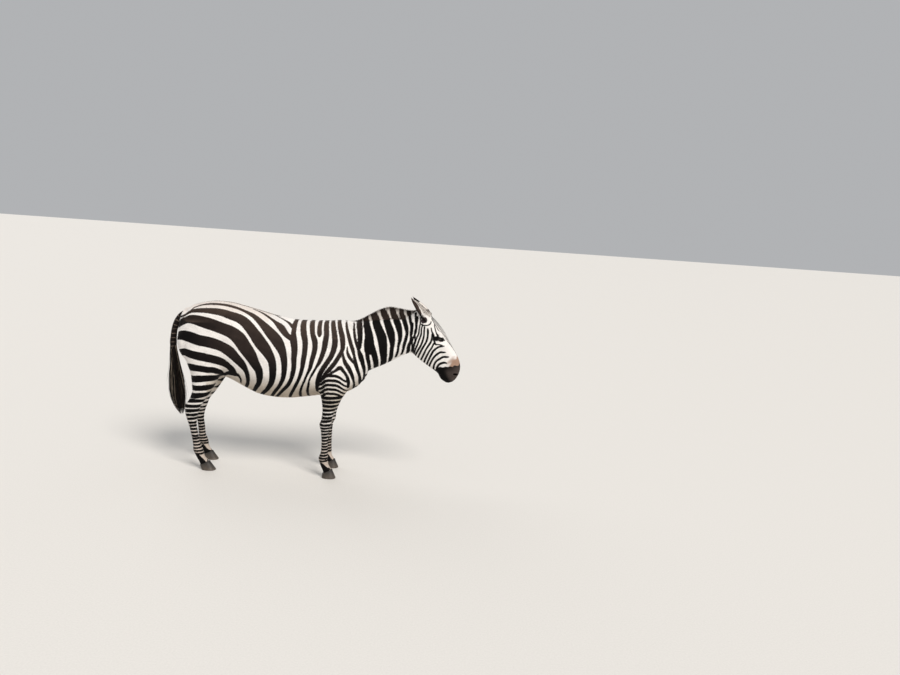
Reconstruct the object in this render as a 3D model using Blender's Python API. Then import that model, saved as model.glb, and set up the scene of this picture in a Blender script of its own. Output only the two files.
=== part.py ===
"""A standing plains zebra, life size, as a still museum model.

The animal faces +X, its left side is +Y and +Z is up. The hooves rest on z = 0 and the origin is
under the middle of the whole model. Every outline runs out to the tips of the coat. The body is
lofted from rings, welded by a voxel remesh into one closed form, and parted by thin cuts into head,
neck, trunk and legs. Mane, ears, eyes, tail and hooves are solids of their own.
"""
import math
from collections import namedtuple

import bmesh
import bpy
import numpy as np
from mathutils import Matrix, Vector

# ---- driving dimensions, in metres ----
GAP = 0.0003                # air left between two pieces that meet
SOFT_GAP = 0.0010           # the same where a rounded piece grows out of the coat
RING_POINTS = 28            # points round a lofted ring
VOXEL = 0.011               # cell of the weld that joins the lofts
BODY_TRIANGLES = 5060       # triangles kept on the welded body

HEAD_ORIGIN = (0.845, 1.355)   # x, z of the poll, where the head's own axis starts
HEAD_PITCH = 57.0              # degrees that the face points below the horizon
HEAD_YAW = 4.0                 # degrees that the face turns to the animal's right
NECK_ORIGIN = (0.20, 1.00)     # x, z where the neck's own axis starts, inside the chest
NECK_PITCH = -18.0             # degrees below the horizon, so the neck rises

CENTRE_X = 0.0149           # middle of the model's length, from where the rings below are set out
LEG_Y = 0.135               # the legs' centre lines, left and right of the mid-plane
STANCE_TOP = 0.75           # height of the joints that the legs swing back from
STANCE = {"fore_left": -0.022, "fore_right": 0.0, "hind_left": -0.065, "hind_right": 0.0}
EYE_RADIUS = 0.0205
EYE_AT = (0.240, 0.0385)    # along and above the head's axis
EYE_Y = 0.0775
EAR_LENGTH = 0.215
EAR_WIDTH = 0.088
EAR_WALL = 0.011
EAR_LIFT = 30.0             # degrees that the ear leans back from upright

# A ring of a body tube: its place along the axis, the outline above and below the axis, half its
# width, and how far up from the bottom it is widest, as a share of its height.
Ring = namedtuple("Ring", "at top bottom half widest")

TRUNK = (
    Ring(-1.062, 1.130, 1.030, 0.045, 0.5),    # point of the buttock
    Ring(-1.045, 1.220, 0.985, 0.095, 0.5),
    Ring(-0.985, 1.285, 0.880, 0.155, 0.5),
    Ring(-0.900, 1.323, 0.800, 0.194, 0.5),    # root of the tail lies above
    Ring(-0.780, 1.345, 0.755, 0.220, 0.55),   # hip
    Ring(-0.660, 1.341, 0.730, 0.222, 0.55),
    Ring(-0.540, 1.318, 0.676, 0.224, 0.5),    # flank
    Ring(-0.420, 1.291, 0.625, 0.237, 0.45),
    Ring(-0.300, 1.263, 0.606, 0.246, 0.42),   # fullest part of the belly
    Ring(-0.150, 1.241, 0.608, 0.244, 0.42),
    Ring(0.000, 1.244, 0.632, 0.228, 0.43),
    Ring(0.120, 1.248, 0.652, 0.205, 0.45),    # girth, behind the elbow
    Ring(0.240, 1.249, 0.668, 0.184, 0.45),    # withers above
    Ring(0.330, 1.215, 0.705, 0.162, 0.45),
    Ring(0.400, 1.130, 0.770, 0.130, 0.45),    # breast
    Ring(0.440, 1.030, 0.850, 0.080, 0.5),
)
NECK = (
    Ring(0.000, 0.215, -0.250, 0.165, 0.45),
    Ring(0.100, 0.212, -0.240, 0.158, 0.45),
    Ring(0.190, 0.204, -0.210, 0.146, 0.45),
    Ring(0.330, 0.183, -0.188, 0.118, 0.42),
    Ring(0.410, 0.170, -0.172, 0.106, 0.40),
    Ring(0.490, 0.155, -0.152, 0.096, 0.40),
    Ring(0.570, 0.133, -0.146, 0.088, 0.42),
    Ring(0.650, 0.118, -0.140, 0.082, 0.45),   # throat latch
    Ring(0.720, 0.105, -0.100, 0.070, 0.5),
    Ring(0.755, 0.070, -0.050, 0.045, 0.5),
)
HEAD = (
    Ring(-0.030, -0.010, -0.130, 0.040, 0.6),
    Ring(0.000, 0.030, -0.185, 0.066, 0.65),   # poll
    Ring(0.060, 0.062, -0.222, 0.084, 0.68),
    Ring(0.120, 0.078, -0.232, 0.094, 0.70),   # forehead
    Ring(0.180, 0.087, -0.230, 0.100, 0.72),
    Ring(0.240, 0.088, -0.222, 0.100, 0.74),   # eyes and cheek bones
    Ring(0.300, 0.086, -0.205, 0.086, 0.74),
    Ring(0.360, 0.086, -0.178, 0.069, 0.72),
    Ring(0.420, 0.086, -0.148, 0.057, 0.66),   # bridge of the nose
    Ring(0.470, 0.081, -0.124, 0.053, 0.56),
    Ring(0.515, 0.067, -0.114, 0.057, 0.50),   # nostrils
    Ring(0.552, 0.040, -0.108, 0.055, 0.48),
    Ring(0.578, 0.006, -0.096, 0.046, 0.48),
    Ring(0.590, -0.022, -0.076, 0.030, 0.5),   # lips
)

# A ring of a leg, level with the ground: its height, its hind and front edge, and how far its
# inner and outer side lie from the mid-plane.
LegRing = namedtuple("LegRing", "height rear front inner outer")

FORELEG = (
    LegRing(1.120, 0.140, 0.300, 0.060, 0.158),   # shoulder blade
    LegRing(1.000, 0.110, 0.335, 0.055, 0.192),
    LegRing(0.880, 0.075, 0.368, 0.050, 0.207),   # point of the shoulder
    LegRing(0.780, 0.068, 0.350, 0.050, 0.208),
    LegRing(0.710, 0.080, 0.305, 0.052, 0.205),   # elbow
    LegRing(0.650, 0.100, 0.268, 0.060, 0.200),
    LegRing(0.600, 0.108, 0.240, 0.072, 0.192),
    LegRing(0.540, 0.114, 0.217, 0.083, 0.184),   # forearm
    LegRing(0.480, 0.110, 0.199, 0.092, 0.178),
    LegRing(0.420, 0.103, 0.190, 0.091, 0.178),   # knee
    LegRing(0.370, 0.111, 0.178, 0.100, 0.170),
    LegRing(0.300, 0.119, 0.175, 0.108, 0.162),   # cannon
    LegRing(0.215, 0.119, 0.176, 0.108, 0.162),
    LegRing(0.150, 0.109, 0.181, 0.100, 0.170),   # fetlock
    LegRing(0.105, 0.119, 0.186, 0.106, 0.164),   # pastern
    LegRing(0.070, 0.136, 0.208, 0.104, 0.166),
    LegRing(0.030, 0.150, 0.214, 0.104, 0.166),
)
HINDLEG = (
    LegRing(1.180, -0.980, -0.700, 0.050, 0.190),
    LegRing(1.060, -1.040, -0.690, 0.030, 0.218),   # haunch
    LegRing(0.960, -1.028, -0.680, 0.022, 0.228),
    LegRing(0.860, -0.968, -0.684, 0.020, 0.226),
    LegRing(0.770, -0.930, -0.706, 0.026, 0.218),   # stifle
    LegRing(0.700, -0.920, -0.735, 0.040, 0.212),
    LegRing(0.630, -0.918, -0.772, 0.060, 0.202),   # gaskin
    LegRing(0.570, -0.936, -0.808, 0.080, 0.190),
    LegRing(0.510, -0.966, -0.846, 0.096, 0.178),   # point of the hock
    LegRing(0.460, -0.968, -0.860, 0.096, 0.176),
    LegRing(0.410, -0.955, -0.870, 0.102, 0.170),
    LegRing(0.360, -0.938, -0.873, 0.107, 0.164),   # cannon
    LegRing(0.270, -0.914, -0.856, 0.108, 0.162),
    LegRing(0.205, -0.900, -0.842, 0.107, 0.163),
    LegRing(0.150, -0.890, -0.816, 0.100, 0.170),   # fetlock
    LegRing(0.105, -0.872, -0.804, 0.106, 0.164),   # pastern
    LegRing(0.070, -0.850, -0.776, 0.104, 0.166),
    LegRing(0.030, -0.832, -0.766, 0.104, 0.166),
)

# A hoof stands on its sole: heel and toe on the ground and at the coronet above, with heights.
Hoof = namedtuple("Hoof", "heel toe coronet_rear coronet_front rear_height front_height half")
FORE_HOOF = Hoof(0.136, 0.248, 0.139, 0.214, 0.036, 0.074, 0.046)
HIND_HOOF = Hoof(-0.824, -0.712, -0.842, -0.766, 0.036, 0.074, 0.044)

# A leg's cell is the outline, in x and z, of the space that its piece is cut from, and how far
# from the mid-plane that space starts.
FORE_CELL = ((0.085, 0.672), (0.085, -0.10), (0.40, -0.10), (0.40, 0.644))
HIND_CELL = ((-1.060, 0.848), (-1.060, -0.10), (-0.690, -0.10), (-0.690, 0.756))
FORE_INNER = 0.050
HIND_INNER = 0.015

# Plane cuts: a point on the plane, and the way its first piece lies from there.
KNEE_CUT = ((0.145, 0.0, 0.417), (0.0, 0.0, 1.0))
HOCK_CUT = ((-0.900, 0.0, 0.490), (0.34, 0.0, 0.94))
NECK_CUT = ((0.365, 0.0, 1.030), (0.97, 0.0, 0.24))
HEAD_CUT = ((0.800, 0.0, 1.200), (1.0, 0.0, 0.03))

# The mane as a blade: distance along the back of the neck, height of its tips, half thickness.
ManeStep = namedtuple("ManeStep", "x base tip half")
MANE = (
    ManeStep(0.270, 1.215, 1.252, 0.008),
    ManeStep(0.350, 1.205, 1.275, 0.013),
    ManeStep(0.440, 1.225, 1.328, 0.017),
    ManeStep(0.520, 1.240, 1.374, 0.019),
    ManeStep(0.590, 1.250, 1.396, 0.020),
    ManeStep(0.670, 1.255, 1.390, 0.020),
    ManeStep(0.760, 1.260, 1.380, 0.020),
    ManeStep(0.835, 1.280, 1.392, 0.019),
    ManeStep(0.885, 1.285, 1.398, 0.016),
    ManeStep(0.925, 1.290, 1.368, 0.010),
)

# The tail hangs from the croup: centre line, half length (fore and aft) and half width.
TailRing = namedtuple("TailRing", "x y z fore_aft side")
DOCK = (
    TailRing(-0.985, 0.0, 1.235, 0.030, 0.030),
    TailRing(-1.045, 0.0, 1.215, 0.030, 0.031),
    TailRing(-1.088, 0.0, 1.165, 0.028, 0.030),
    TailRing(-1.112, 0.0, 1.100, 0.026, 0.028),
    TailRing(-1.120, 0.0, 1.035, 0.027, 0.028),
    TailRing(-1.122, 0.0, 0.965, 0.030, 0.030),
)
TUFT = (
    TailRing(-1.122, 0.0, 0.9647, 0.030, 0.030),
    TailRing(-1.115, 0.0, 0.900, 0.036, 0.034),
    TailRing(-1.105, 0.0, 0.800, 0.046, 0.042),
    TailRing(-1.094, 0.0, 0.700, 0.058, 0.048),
    TailRing(-1.083, 0.0, 0.600, 0.063, 0.048),
    TailRing(-1.070, 0.0, 0.510, 0.054, 0.040),
    TailRing(-1.054, 0.0, 0.440, 0.034, 0.026),
    TailRing(-1.042, 0.0, 0.395, 0.012, 0.010),
)


def clear_scene():
    """Remove every object that the opened file holds."""
    for thing in list(bpy.data.objects):
        bpy.data.objects.remove(thing, do_unlink=True)


def material(name, colour, roughness, coat=0.0):
    """A Principled material of one plain finish."""
    finish = bpy.data.materials.new(name)
    finish.use_nodes = True
    shader = finish.node_tree.nodes["Principled BSDF"]
    shader.inputs["Base Color"].default_value = (*colour, 1.0)
    shader.inputs["Roughness"].default_value = roughness
    shader.inputs["Metallic"].default_value = 0.0
    shader.inputs["Coat Weight"].default_value = coat
    finish.diffuse_color = (*colour, 1.0)
    return finish


def densify(rows, spacing):
    """Read a smooth curve through the rows, about spacing apart along the first column."""
    table = np.array(rows, dtype=float)
    steps = np.abs(np.diff(table[:, 0]))
    travel = np.concatenate(([0.0], np.cumsum(steps)))
    slopes = np.gradient(table, travel, axis=0)
    count = max(int(round(travel[-1] / spacing)), 2)
    wanted = np.linspace(0.0, travel[-1], count + 1)
    index = np.clip(np.searchsorted(travel, wanted, side="right") - 1, 0, len(travel) - 2)
    span = (travel[index + 1] - travel[index])[:, None]
    share = ((wanted - travel[index])[:, None]) / span
    start, end = table[index], table[index + 1]
    rise, fall = slopes[index] * span, slopes[index + 1] * span
    return ((2 * share**3 - 3 * share**2 + 1) * start + (share**3 - 2 * share**2 + share) * rise
            + (3 * share**2 - 2 * share**3) * end + (share**3 - share**2) * fall)


def oval(half, up, down, square=2.2, count=RING_POINTS):
    """Points of an oval with its own height above and below the widest line, as (side, rise)."""
    points = []
    for step in range(count):
        turn = 2.0 * math.pi * step / count
        across, along = math.cos(turn), math.sin(turn)
        reach = up if along >= 0.0 else down
        side = half * math.copysign(abs(across) ** (2.0 / square), across)
        rise = reach * math.copysign(abs(along) ** (2.0 / square), along)
        points.append((side, rise))
    return points


def loft(name, rings):
    """Bridge closed rings of points into one capped tube and return its object."""
    tube = bmesh.new()
    loops = []
    for ring in rings:
        verts = [tube.verts.new(point) for point in ring]
        loops.append([tube.edges.new((verts[k], verts[k - 1])) for k in range(len(verts))])
    for first, second in zip(loops, loops[1:]):
        bmesh.ops.bridge_loops(tube, edges=first + second)
    for end in (loops[0], loops[-1]):
        bmesh.ops.contextual_create(tube, geom=end)
    bmesh.ops.recalc_face_normals(tube, faces=tube.faces)
    mesh = bpy.data.meshes.new(name)
    tube.to_mesh(mesh)
    tube.free()
    return add_object(name, mesh)


def add_object(name, mesh):
    """Put a mesh into the scene under its name."""
    thing = bpy.data.objects.new(name, mesh)
    bpy.context.scene.collection.objects.link(thing)
    return thing


def axis_frame(origin, pitch, yaw=0.0):
    """The placement of a tube whose axis points pitch degrees below +X, turned by yaw."""
    tilt = Matrix.Rotation(math.radians(pitch), 4, "Y")
    turn = Matrix.Rotation(math.radians(-yaw), 4, "Z")
    return Matrix.Translation((origin[0], 0.0, origin[1])) @ turn @ tilt


HEAD_FRAME = axis_frame(HEAD_ORIGIN, HEAD_PITCH, HEAD_YAW)
NECK_FRAME = axis_frame(NECK_ORIGIN, NECK_PITCH)


def body_tube(name, stations, frame, spacing, square):
    """Loft a tube along the X axis of its frame from rings that stand across it."""
    rings = []
    for at, top, bottom, half, widest in densify(stations, spacing):
        level = bottom + widest * (top - bottom)
        section = oval(half, top - level, level - bottom, square)
        rings.append([frame @ Vector((at, side, level + rise)) for side, rise in section])
    return loft(name, rings)


def stance_shift(limb, height):
    """How far a leg stands behind its square place at this height."""
    return STANCE[limb] * max(0.0, 1.0 - height / STANCE_TOP)


def leg_tube(limb, stations, side):
    """Loft a leg from level rings; side is +1 on the left and -1 on the right."""
    rings = []
    for height, rear, front, inner, outer in densify(stations, 0.03):
        half, depth = (outer - inner) / 2.0, (front - rear) / 2.0
        middle_x = (front + rear) / 2.0 + stance_shift(limb, height)
        middle_y = side * (outer + inner) / 2.0
        section = oval(half, depth, depth)
        rings.append([Vector((middle_x + rise, middle_y + across, height)) for across, rise in section])
    return loft(limb, rings)


def egg(name, centre, radii, frame, rounds=16):
    """A closed ellipsoid at centre in its frame, for a muscle or a bone under the skin."""
    ball = bmesh.new()
    bmesh.ops.create_uvsphere(ball, u_segments=rounds, v_segments=rounds // 2 + 2, radius=1.0)
    place = frame @ Matrix.Translation(centre) @ Matrix.Diagonal((*radii, 1.0))
    bmesh.ops.transform(ball, matrix=place, verts=ball.verts)
    mesh = bpy.data.meshes.new(name)
    ball.to_mesh(mesh)
    ball.free()
    return add_object(name, mesh)


def join(name, things):
    """Join objects into one mesh object and drop the originals."""
    whole = bmesh.new()
    for thing in things:
        whole.from_mesh(thing.data)
        bpy.data.objects.remove(thing, do_unlink=True)
    mesh = bpy.data.meshes.new(name)
    whole.to_mesh(mesh)
    whole.free()
    return add_object(name, mesh)


def settle(thing):
    """Apply an object's modifiers to its mesh."""
    view = bpy.context.evaluated_depsgraph_get()
    mesh = bpy.data.meshes.new_from_object(thing.evaluated_get(view))
    thing.modifiers.clear()
    thing.data = mesh


def boolean(thing, cutter, operation):
    """Combine an object with a cutter by the exact solver and apply it."""
    step = thing.modifiers.new("cut", "BOOLEAN")
    step.operation = operation
    step.solver = "EXACT"
    step.object = cutter
    settle(thing)


def welded_body():
    """The whole fleshy body as one closed mesh: lofts and muscles welded, smoothed and thinned."""
    ground = Matrix.Identity(4)
    things = [
        body_tube("trunk_tube", TRUNK, ground, 0.04, 2.15),
        body_tube("neck_tube", NECK, NECK_FRAME, 0.04, 2.1),
        body_tube("head_tube", HEAD, HEAD_FRAME, 0.02, 2.25),
    ]
    for side, word in ((1.0, "left"), (-1.0, "right")):
        things.append(leg_tube(f"fore_{word}", FORELEG, side))
        things.append(leg_tube(f"hind_{word}", HINDLEG, side))
        things.append(egg("cheek", (0.205, side * 0.048, -0.110), (0.100, 0.040, 0.090), HEAD_FRAME))
        things.append(egg("brow", (0.226, side * 0.067, 0.056), (0.045, 0.028, 0.020), HEAD_FRAME))
        things.append(egg("nostril_wing", (0.525, side * 0.034, 0.014), (0.036, 0.024, 0.036), HEAD_FRAME))
    things.append(egg("chin", (0.520, 0.0, -0.098), (0.036, 0.034, 0.022), HEAD_FRAME))
    body = join("body", things)
    weld = body.modifiers.new("weld", "REMESH")
    weld.mode = "VOXEL"
    weld.voxel_size = VOXEL
    soften = body.modifiers.new("soften", "SMOOTH")
    soften.factor = 0.5
    soften.iterations = 4
    settle(body)
    whole = len(body.data.polygons) * 2
    thin = body.modifiers.new("thin", "DECIMATE")
    thin.ratio = BODY_TRIANGLES / whole
    thin.use_symmetry = False
    settle(body)
    return body


def prism(name, outline, near, far, grow=0.0):
    """A convex outline in the XZ plane carried from y = near to y = far, its faces moved out by grow."""
    middle = Vector([sum(axis) / len(outline) for axis in zip(*outline)])
    sides = []
    for (x0, z0), (x1, z1) in zip(outline, outline[1:] + outline[:1]):
        normal = Vector((z1 - z0, x0 - x1)).normalized()
        if normal.dot(Vector((x0, z0)) - middle) < 0.0:
            normal.negate()
        sides.append((normal, normal.dot(Vector((x0, z0))) + grow))
    corners = []
    for (first, reach), (second, extent) in zip(sides[-1:] + sides[:-1], sides):
        square = first.x * second.y - first.y * second.x
        x = (reach * second.y - extent * first.y) / square
        z = (first.x * extent - second.x * reach) / square
        corners.append((x, z))
    low, high = min(near, far) - grow, max(near, far) + grow
    return loft(name, [[Vector((x, y, z)) for x, z in corners] for y in (low, high)])


def cut_across(mesh, point, normal):
    """Part a closed mesh by a plane and return both sides, closed, with half a gap taken off each."""
    halves = []
    for way in (1.0, -1.0):
        side = bmesh.new()
        side.from_mesh(mesh)
        away = Vector(normal).normalized() * way
        bmesh.ops.bisect_plane(side, geom=side.verts[:] + side.edges[:] + side.faces[:], dist=1e-6,
                               plane_co=Vector(point) + away * GAP / 2.0, plane_no=away, clear_inner=True)
        rim = [edge for edge in side.edges if edge.is_boundary]
        bmesh.ops.holes_fill(side, edges=rim, sides=0)
        half = bpy.data.meshes.new("half")
        side.to_mesh(half)
        side.free()
        halves.append(half)
    return halves


def hoof_top(hoof):
    """Middle (x, z) and pitch of the sloping plane where a hoof meets its pastern."""
    run = hoof.coronet_front - hoof.coronet_rear
    rise = hoof.front_height - hoof.rear_height
    middle = ((hoof.coronet_front + hoof.coronet_rear) / 2.0, (hoof.front_height + hoof.rear_height) / 2.0)
    return middle, -math.degrees(math.atan2(rise, run))


def part_body(body):
    """Part the welded body into named pieces and return them."""
    pieces = {}
    for side, word in ((1.0, "left"), (-1.0, "right")):
        for end, cell, inner, hoof, joint in (
                ("fore", FORE_CELL, FORE_INNER, FORE_HOOF, KNEE_CUT),
                ("hind", HIND_CELL, HIND_INNER, HIND_HOOF, HOCK_CUT)):
            near, far = side * inner, side * 0.32
            leg = add_object("leg", body.data.copy())
            keep = prism("cell", cell, near, far)
            boolean(leg, keep, "INTERSECT")
            clear = prism("cell", cell, near, far, GAP)
            boolean(body, clear, "DIFFERENCE")
            for thing in (keep, clear):
                bpy.data.objects.remove(thing, do_unlink=True)
            keep_largest(leg)
            upper, lower = cut_across(leg.data, *joint)
            bpy.data.objects.remove(leg, do_unlink=True)
            (x, z), pitch = hoof_top(hoof)
            x += stance_shift(f"{end}_{word}", 0.0)
            rise = Matrix.Rotation(math.radians(pitch), 4, "Y") @ Vector((0.0, 0.0, 1.0))
            pieces[f"{end}leg_{word}_upper"] = upper
            pieces[f"{end}leg_{word}_lower"] = cut_across(lower, (x, 0.0, z), rise)[0]
    keep_largest(body)
    rest, pieces["trunk"] = cut_across(body.data, *NECK_CUT)
    pieces["head"], pieces["neck"] = cut_across(rest, *HEAD_CUT)
    bpy.data.objects.remove(body, do_unlink=True)
    return [add_object(name, mesh) for name, mesh in pieces.items()]


def loose_parts(thing):
    """Split an object's mesh into its separate closed bodies, as new meshes."""
    source = bmesh.new()
    source.from_mesh(thing.data)
    source.verts.ensure_lookup_table()
    seen, groups = set(), []
    for start in source.verts:
        if start.index in seen:
            continue
        seen.add(start.index)
        queue, group = [start], []
        while queue:
            vert = queue.pop()
            group.append(vert.index)
            for edge in vert.link_edges:
                other = edge.other_vert(vert)
                if other.index not in seen:
                    seen.add(other.index)
                    queue.append(other)
        groups.append(set(group))
    meshes = []
    for group in groups:
        piece = source.copy()
        piece.verts.ensure_lookup_table()
        doomed = [vert for vert in piece.verts if vert.index not in group]
        bmesh.ops.delete(piece, geom=doomed, context="VERTS")
        mesh = bpy.data.meshes.new("piece")
        piece.to_mesh(mesh)
        piece.free()
        meshes.append(mesh)
    source.free()
    return meshes


def hoof_object(limb, hoof, side):
    """A hoof: level D-shaped sole, walls that slope in to a tilted coronet."""
    shift = stance_shift(limb, 0.0)
    rings = []
    bevel = 0.004
    for share, grow in ((0.0, -bevel), (0.08, 0.0), (0.5, 0.0), (1.0, 0.0)):
        heel = hoof.heel + share * (hoof.coronet_rear - hoof.heel)
        toe = hoof.toe + share * (hoof.coronet_front - hoof.toe)
        half = hoof.half - share * 0.015 + grow
        ring = []
        for across, rise in oval(half, 1.0, 1.0, 2.5, 16):
            x = (heel + toe) / 2.0 + rise * ((toe - heel) / 2.0 + grow)
            along = (x - heel) / (toe - heel)
            height = share * (hoof.rear_height + along * (hoof.front_height - hoof.rear_height))
            ring.append(Vector((x + shift, side * LEG_Y + across, height)))
        rings.append(ring)
    top_pitch = math.radians(hoof_top(hoof)[1])
    for point in rings[-1]:
        point += Vector((math.sin(top_pitch), 0.0, math.cos(top_pitch))) * -GAP / 2.0
    return loft(f"hoof_{limb}", rings)


def blade(name, steps):
    """The mane: a thin upright blade whose rings stand across the neck."""
    rings = []
    for x, base, tip, half in densify(steps, 0.04):
        rings.append([Vector((x, 0.55 * side, base + (rise + 1.0) / 2.0 * (tip - base)))
                      for side, rise in oval(half, 1.0, 1.0, 3.0, 10)])
    for ring in rings:
        low = min(point.z for point in ring)
        high = max(point.z for point in ring)
        for point in ring:
            point.y *= 1.9 - 0.9 * (point.z - low) / (high - low)
    return loft(name, rings)


def tail_tube(name, stations):
    """A hanging tube that follows its centre line with level rings."""
    rings = []
    for row in stations:
        rings.append([Vector((row.x + rise, row.y + side, row.z))
                      for side, rise in oval(row.side, row.fore_aft, row.fore_aft, 2.0, 14)])
    return loft(name, rings)


def dock_tube(name):
    """The fleshy root of the tail, with rings square to its bend."""
    rings = []
    for index, row in enumerate(DOCK):
        before, after = DOCK[max(index - 1, 0)], DOCK[min(index + 1, len(DOCK) - 1)]
        along = Vector((after.x - before.x, 0.0, after.z - before.z)).normalized()
        if index == len(DOCK) - 1:
            along = Vector((0.0, 0.0, -1.0))
        across = Vector((0.0, 1.0, 0.0))
        out = across.cross(along)
        centre = Vector((row.x, row.y, row.z))
        rings.append([centre + across * side + out * rise
                      for side, rise in oval(row.side, row.fore_aft, row.fore_aft, 2.0, 14)])
    return loft(name, rings)


def ear_object(name, side):
    """An ear: a cupped leaf with a wall of even thickness, open to the front and the outside."""
    lift = math.radians(EAR_LIFT)
    root = HEAD_FRAME @ Vector((0.052, side * 0.052, 0.012))
    along = Vector((-math.sin(lift), side * 0.16, math.cos(lift))).normalized()
    opening = Vector((0.80, side * 0.60, 0.22))
    opening = (opening - along * opening.dot(along)).normalized()
    across = along.cross(opening)
    rings = []
    for step in range(11):
        share = step / 10.0
        half = EAR_WIDTH / 2.0 * (math.sin(math.pi * min(share * 0.80 + 0.22, 1.0)) ** 0.75 + 0.04)
        cup = math.radians(215.0 - 120.0 * share)
        radius = half / max(math.sin(min(cup, math.pi) / 2.0), 0.35)
        lean = -0.035 * share * share
        centre = root + along * (EAR_LENGTH * share - 0.012) + opening * (radius * 0.55 + lean)
        wall = EAR_WALL * (1.0 - 0.55 * share)
        outer, inner = [], []
        for k in range(7):
            turn = math.pi + cup * (k / 6.0 - 0.5)
            for reach, row in ((radius, outer), (radius - wall, inner)):
                spot = opening * math.cos(turn) * reach + across * math.sin(turn) * reach
                row.append(centre + spot)
        rings.append(outer + inner[::-1])
    return loft(name, rings)


def grown(thing, amount):
    """A copy of an object, swollen along its normals, to cut its neighbour with a gap."""
    copy = add_object("grown", thing.data.copy())
    swell = copy.modifiers.new("swell", "DISPLACE")
    swell.mid_level = 0.0
    swell.strength = amount
    settle(copy)
    return copy


def subtract(thing, other, gap=GAP):
    """Cut a grown copy of one piece out of another, so that they meet with an even gap."""
    cutter = grown(other, gap)
    boolean(thing, cutter, "DIFFERENCE")
    bpy.data.objects.remove(cutter, do_unlink=True)
    keep_largest(thing)


def keep_largest(thing):
    """Keep the largest closed body of an object."""
    meshes = loose_parts(thing)
    if len(meshes) > 1:
        thing.data = max(meshes, key=lambda mesh: len(mesh.vertices))


def drop_flaps(mesh):
    """Delete pairs of triangles that lie back to back on the same three corners."""
    by_corners = {}
    for face in mesh.faces:
        by_corners.setdefault(frozenset(vert.index for vert in face.verts), []).append(face)
    flaps = [face for group in by_corners.values() if len(group) > 1 for face in group]
    bmesh.ops.delete(mesh, geom=flaps, context="FACES")


def finish_piece(thing, finish):
    """Clean a piece's mesh, centre the model on it, shade it smooth and give it its material."""
    clean = bmesh.new()
    clean.from_mesh(thing.data)
    bmesh.ops.remove_doubles(clean, verts=clean.verts, dist=0.000002)
    bmesh.ops.dissolve_degenerate(clean, edges=clean.edges, dist=0.000005)
    bmesh.ops.triangulate(clean, faces=clean.faces)
    clean.verts.index_update()
    drop_flaps(clean)
    bmesh.ops.recalc_face_normals(clean, faces=clean.faces)
    bmesh.ops.translate(clean, vec=(-CENTRE_X, 0.0, 0.0), verts=clean.verts)
    clean.to_mesh(thing.data)
    clean.free()
    thing.data.materials.clear()
    thing.data.materials.append(finish)
    thing.data.shade_smooth()
    thing.data.set_sharp_from_angle(angle=math.radians(45.0))


def build():
    """Model the zebra."""
    clear_scene()
    hide = material("striped_hide", (0.55, 0.52, 0.48), 0.75)
    hair = material("dark_hair", (0.05, 0.04, 0.035), 0.8)
    horn = material("hoof_horn", (0.07, 0.065, 0.06), 0.5)
    wet = material("eye_cornea", (0.02, 0.012, 0.01), 0.08, 1.0)

    body = welded_body()
    eyes = []
    for side, word in ((1.0, "left"), (-1.0, "right")):
        spot = (EYE_AT[0], side * EYE_Y, EYE_AT[1])
        eye = egg(f"eye_{word}", spot, (EYE_RADIUS,) * 3, HEAD_FRAME, 12)
        subtract(body, eye)
        eyes.append(eye)

    mane = blade("mane", MANE)
    dock = dock_tube("tail_dock")
    tuft = tail_tube("tail_tuft", TUFT)
    ears = [ear_object("ear_left", 1.0), ear_object("ear_right", -1.0)]
    for thing in (mane, dock, *ears):
        subtract(thing, body, SOFT_GAP)
    for ear in ears:
        subtract(mane, ear, SOFT_GAP)

    pieces = part_body(body)
    hooves = []
    for side, word in ((1.0, "left"), (-1.0, "right")):
        hooves.append(hoof_object(f"fore_{word}", FORE_HOOF, side))
        hooves.append(hoof_object(f"hind_{word}", HIND_HOOF, side))

    for thing in pieces + ears + [dock]:
        finish_piece(thing, hide)
    for thing in (mane, tuft):
        finish_piece(thing, hair)
    for thing in hooves:
        finish_piece(thing, horn)
    for thing in eyes:
        finish_piece(thing, wet)


build()
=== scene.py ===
"""The looks of a standing plains zebra, life size, as a still museum model.

One seamless skin is worked out from the same tubes and limbs as the solids, painted with black
bands that are laid on its form, and covered with short hair. Ears, eyes, lids, mane, tail and
hooves are pieces of their own. Everything is in metres, facing +X, with +Z up.
"""

import dataclasses
import functools
import logging
import math
from dataclasses import dataclass
from enum import Enum

import bmesh
import bpy
import numpy as np
from mathutils import Matrix


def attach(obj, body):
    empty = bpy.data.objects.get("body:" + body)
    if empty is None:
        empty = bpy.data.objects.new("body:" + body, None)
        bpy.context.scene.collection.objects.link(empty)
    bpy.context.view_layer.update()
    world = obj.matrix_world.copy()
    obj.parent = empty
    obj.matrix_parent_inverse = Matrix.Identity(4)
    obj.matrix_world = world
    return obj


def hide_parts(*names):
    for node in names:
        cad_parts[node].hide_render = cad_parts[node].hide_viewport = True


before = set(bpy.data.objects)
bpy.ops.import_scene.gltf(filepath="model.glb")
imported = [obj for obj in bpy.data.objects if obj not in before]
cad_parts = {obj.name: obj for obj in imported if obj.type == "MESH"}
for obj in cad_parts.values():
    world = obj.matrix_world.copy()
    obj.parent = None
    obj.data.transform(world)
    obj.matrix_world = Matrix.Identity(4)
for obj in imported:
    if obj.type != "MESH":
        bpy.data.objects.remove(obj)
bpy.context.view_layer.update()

logging.basicConfig(level=logging.INFO, format="%(message)s")
LOG = logging.getLogger("zebra")
Array = np.ndarray
Thing, Material = bpy.types.Object, bpy.types.Material
Tree, Socket = bpy.types.NodeTree, bpy.types.NodeSocket

CENTRE_X = 0.0149           # the tubes and limbs below are set out this far ahead of the origin
LEG_Y = 0.135
STANCE_TOP = 0.75
COAT_DEPTH = 0.0040         # how far the skin lies under the tips of the body's hair
FACE_DEPTH = 0.0015         # the same on the face and the feet
GRID_STEP = 0.0108          # cell of the grid that the skin is read from

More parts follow.
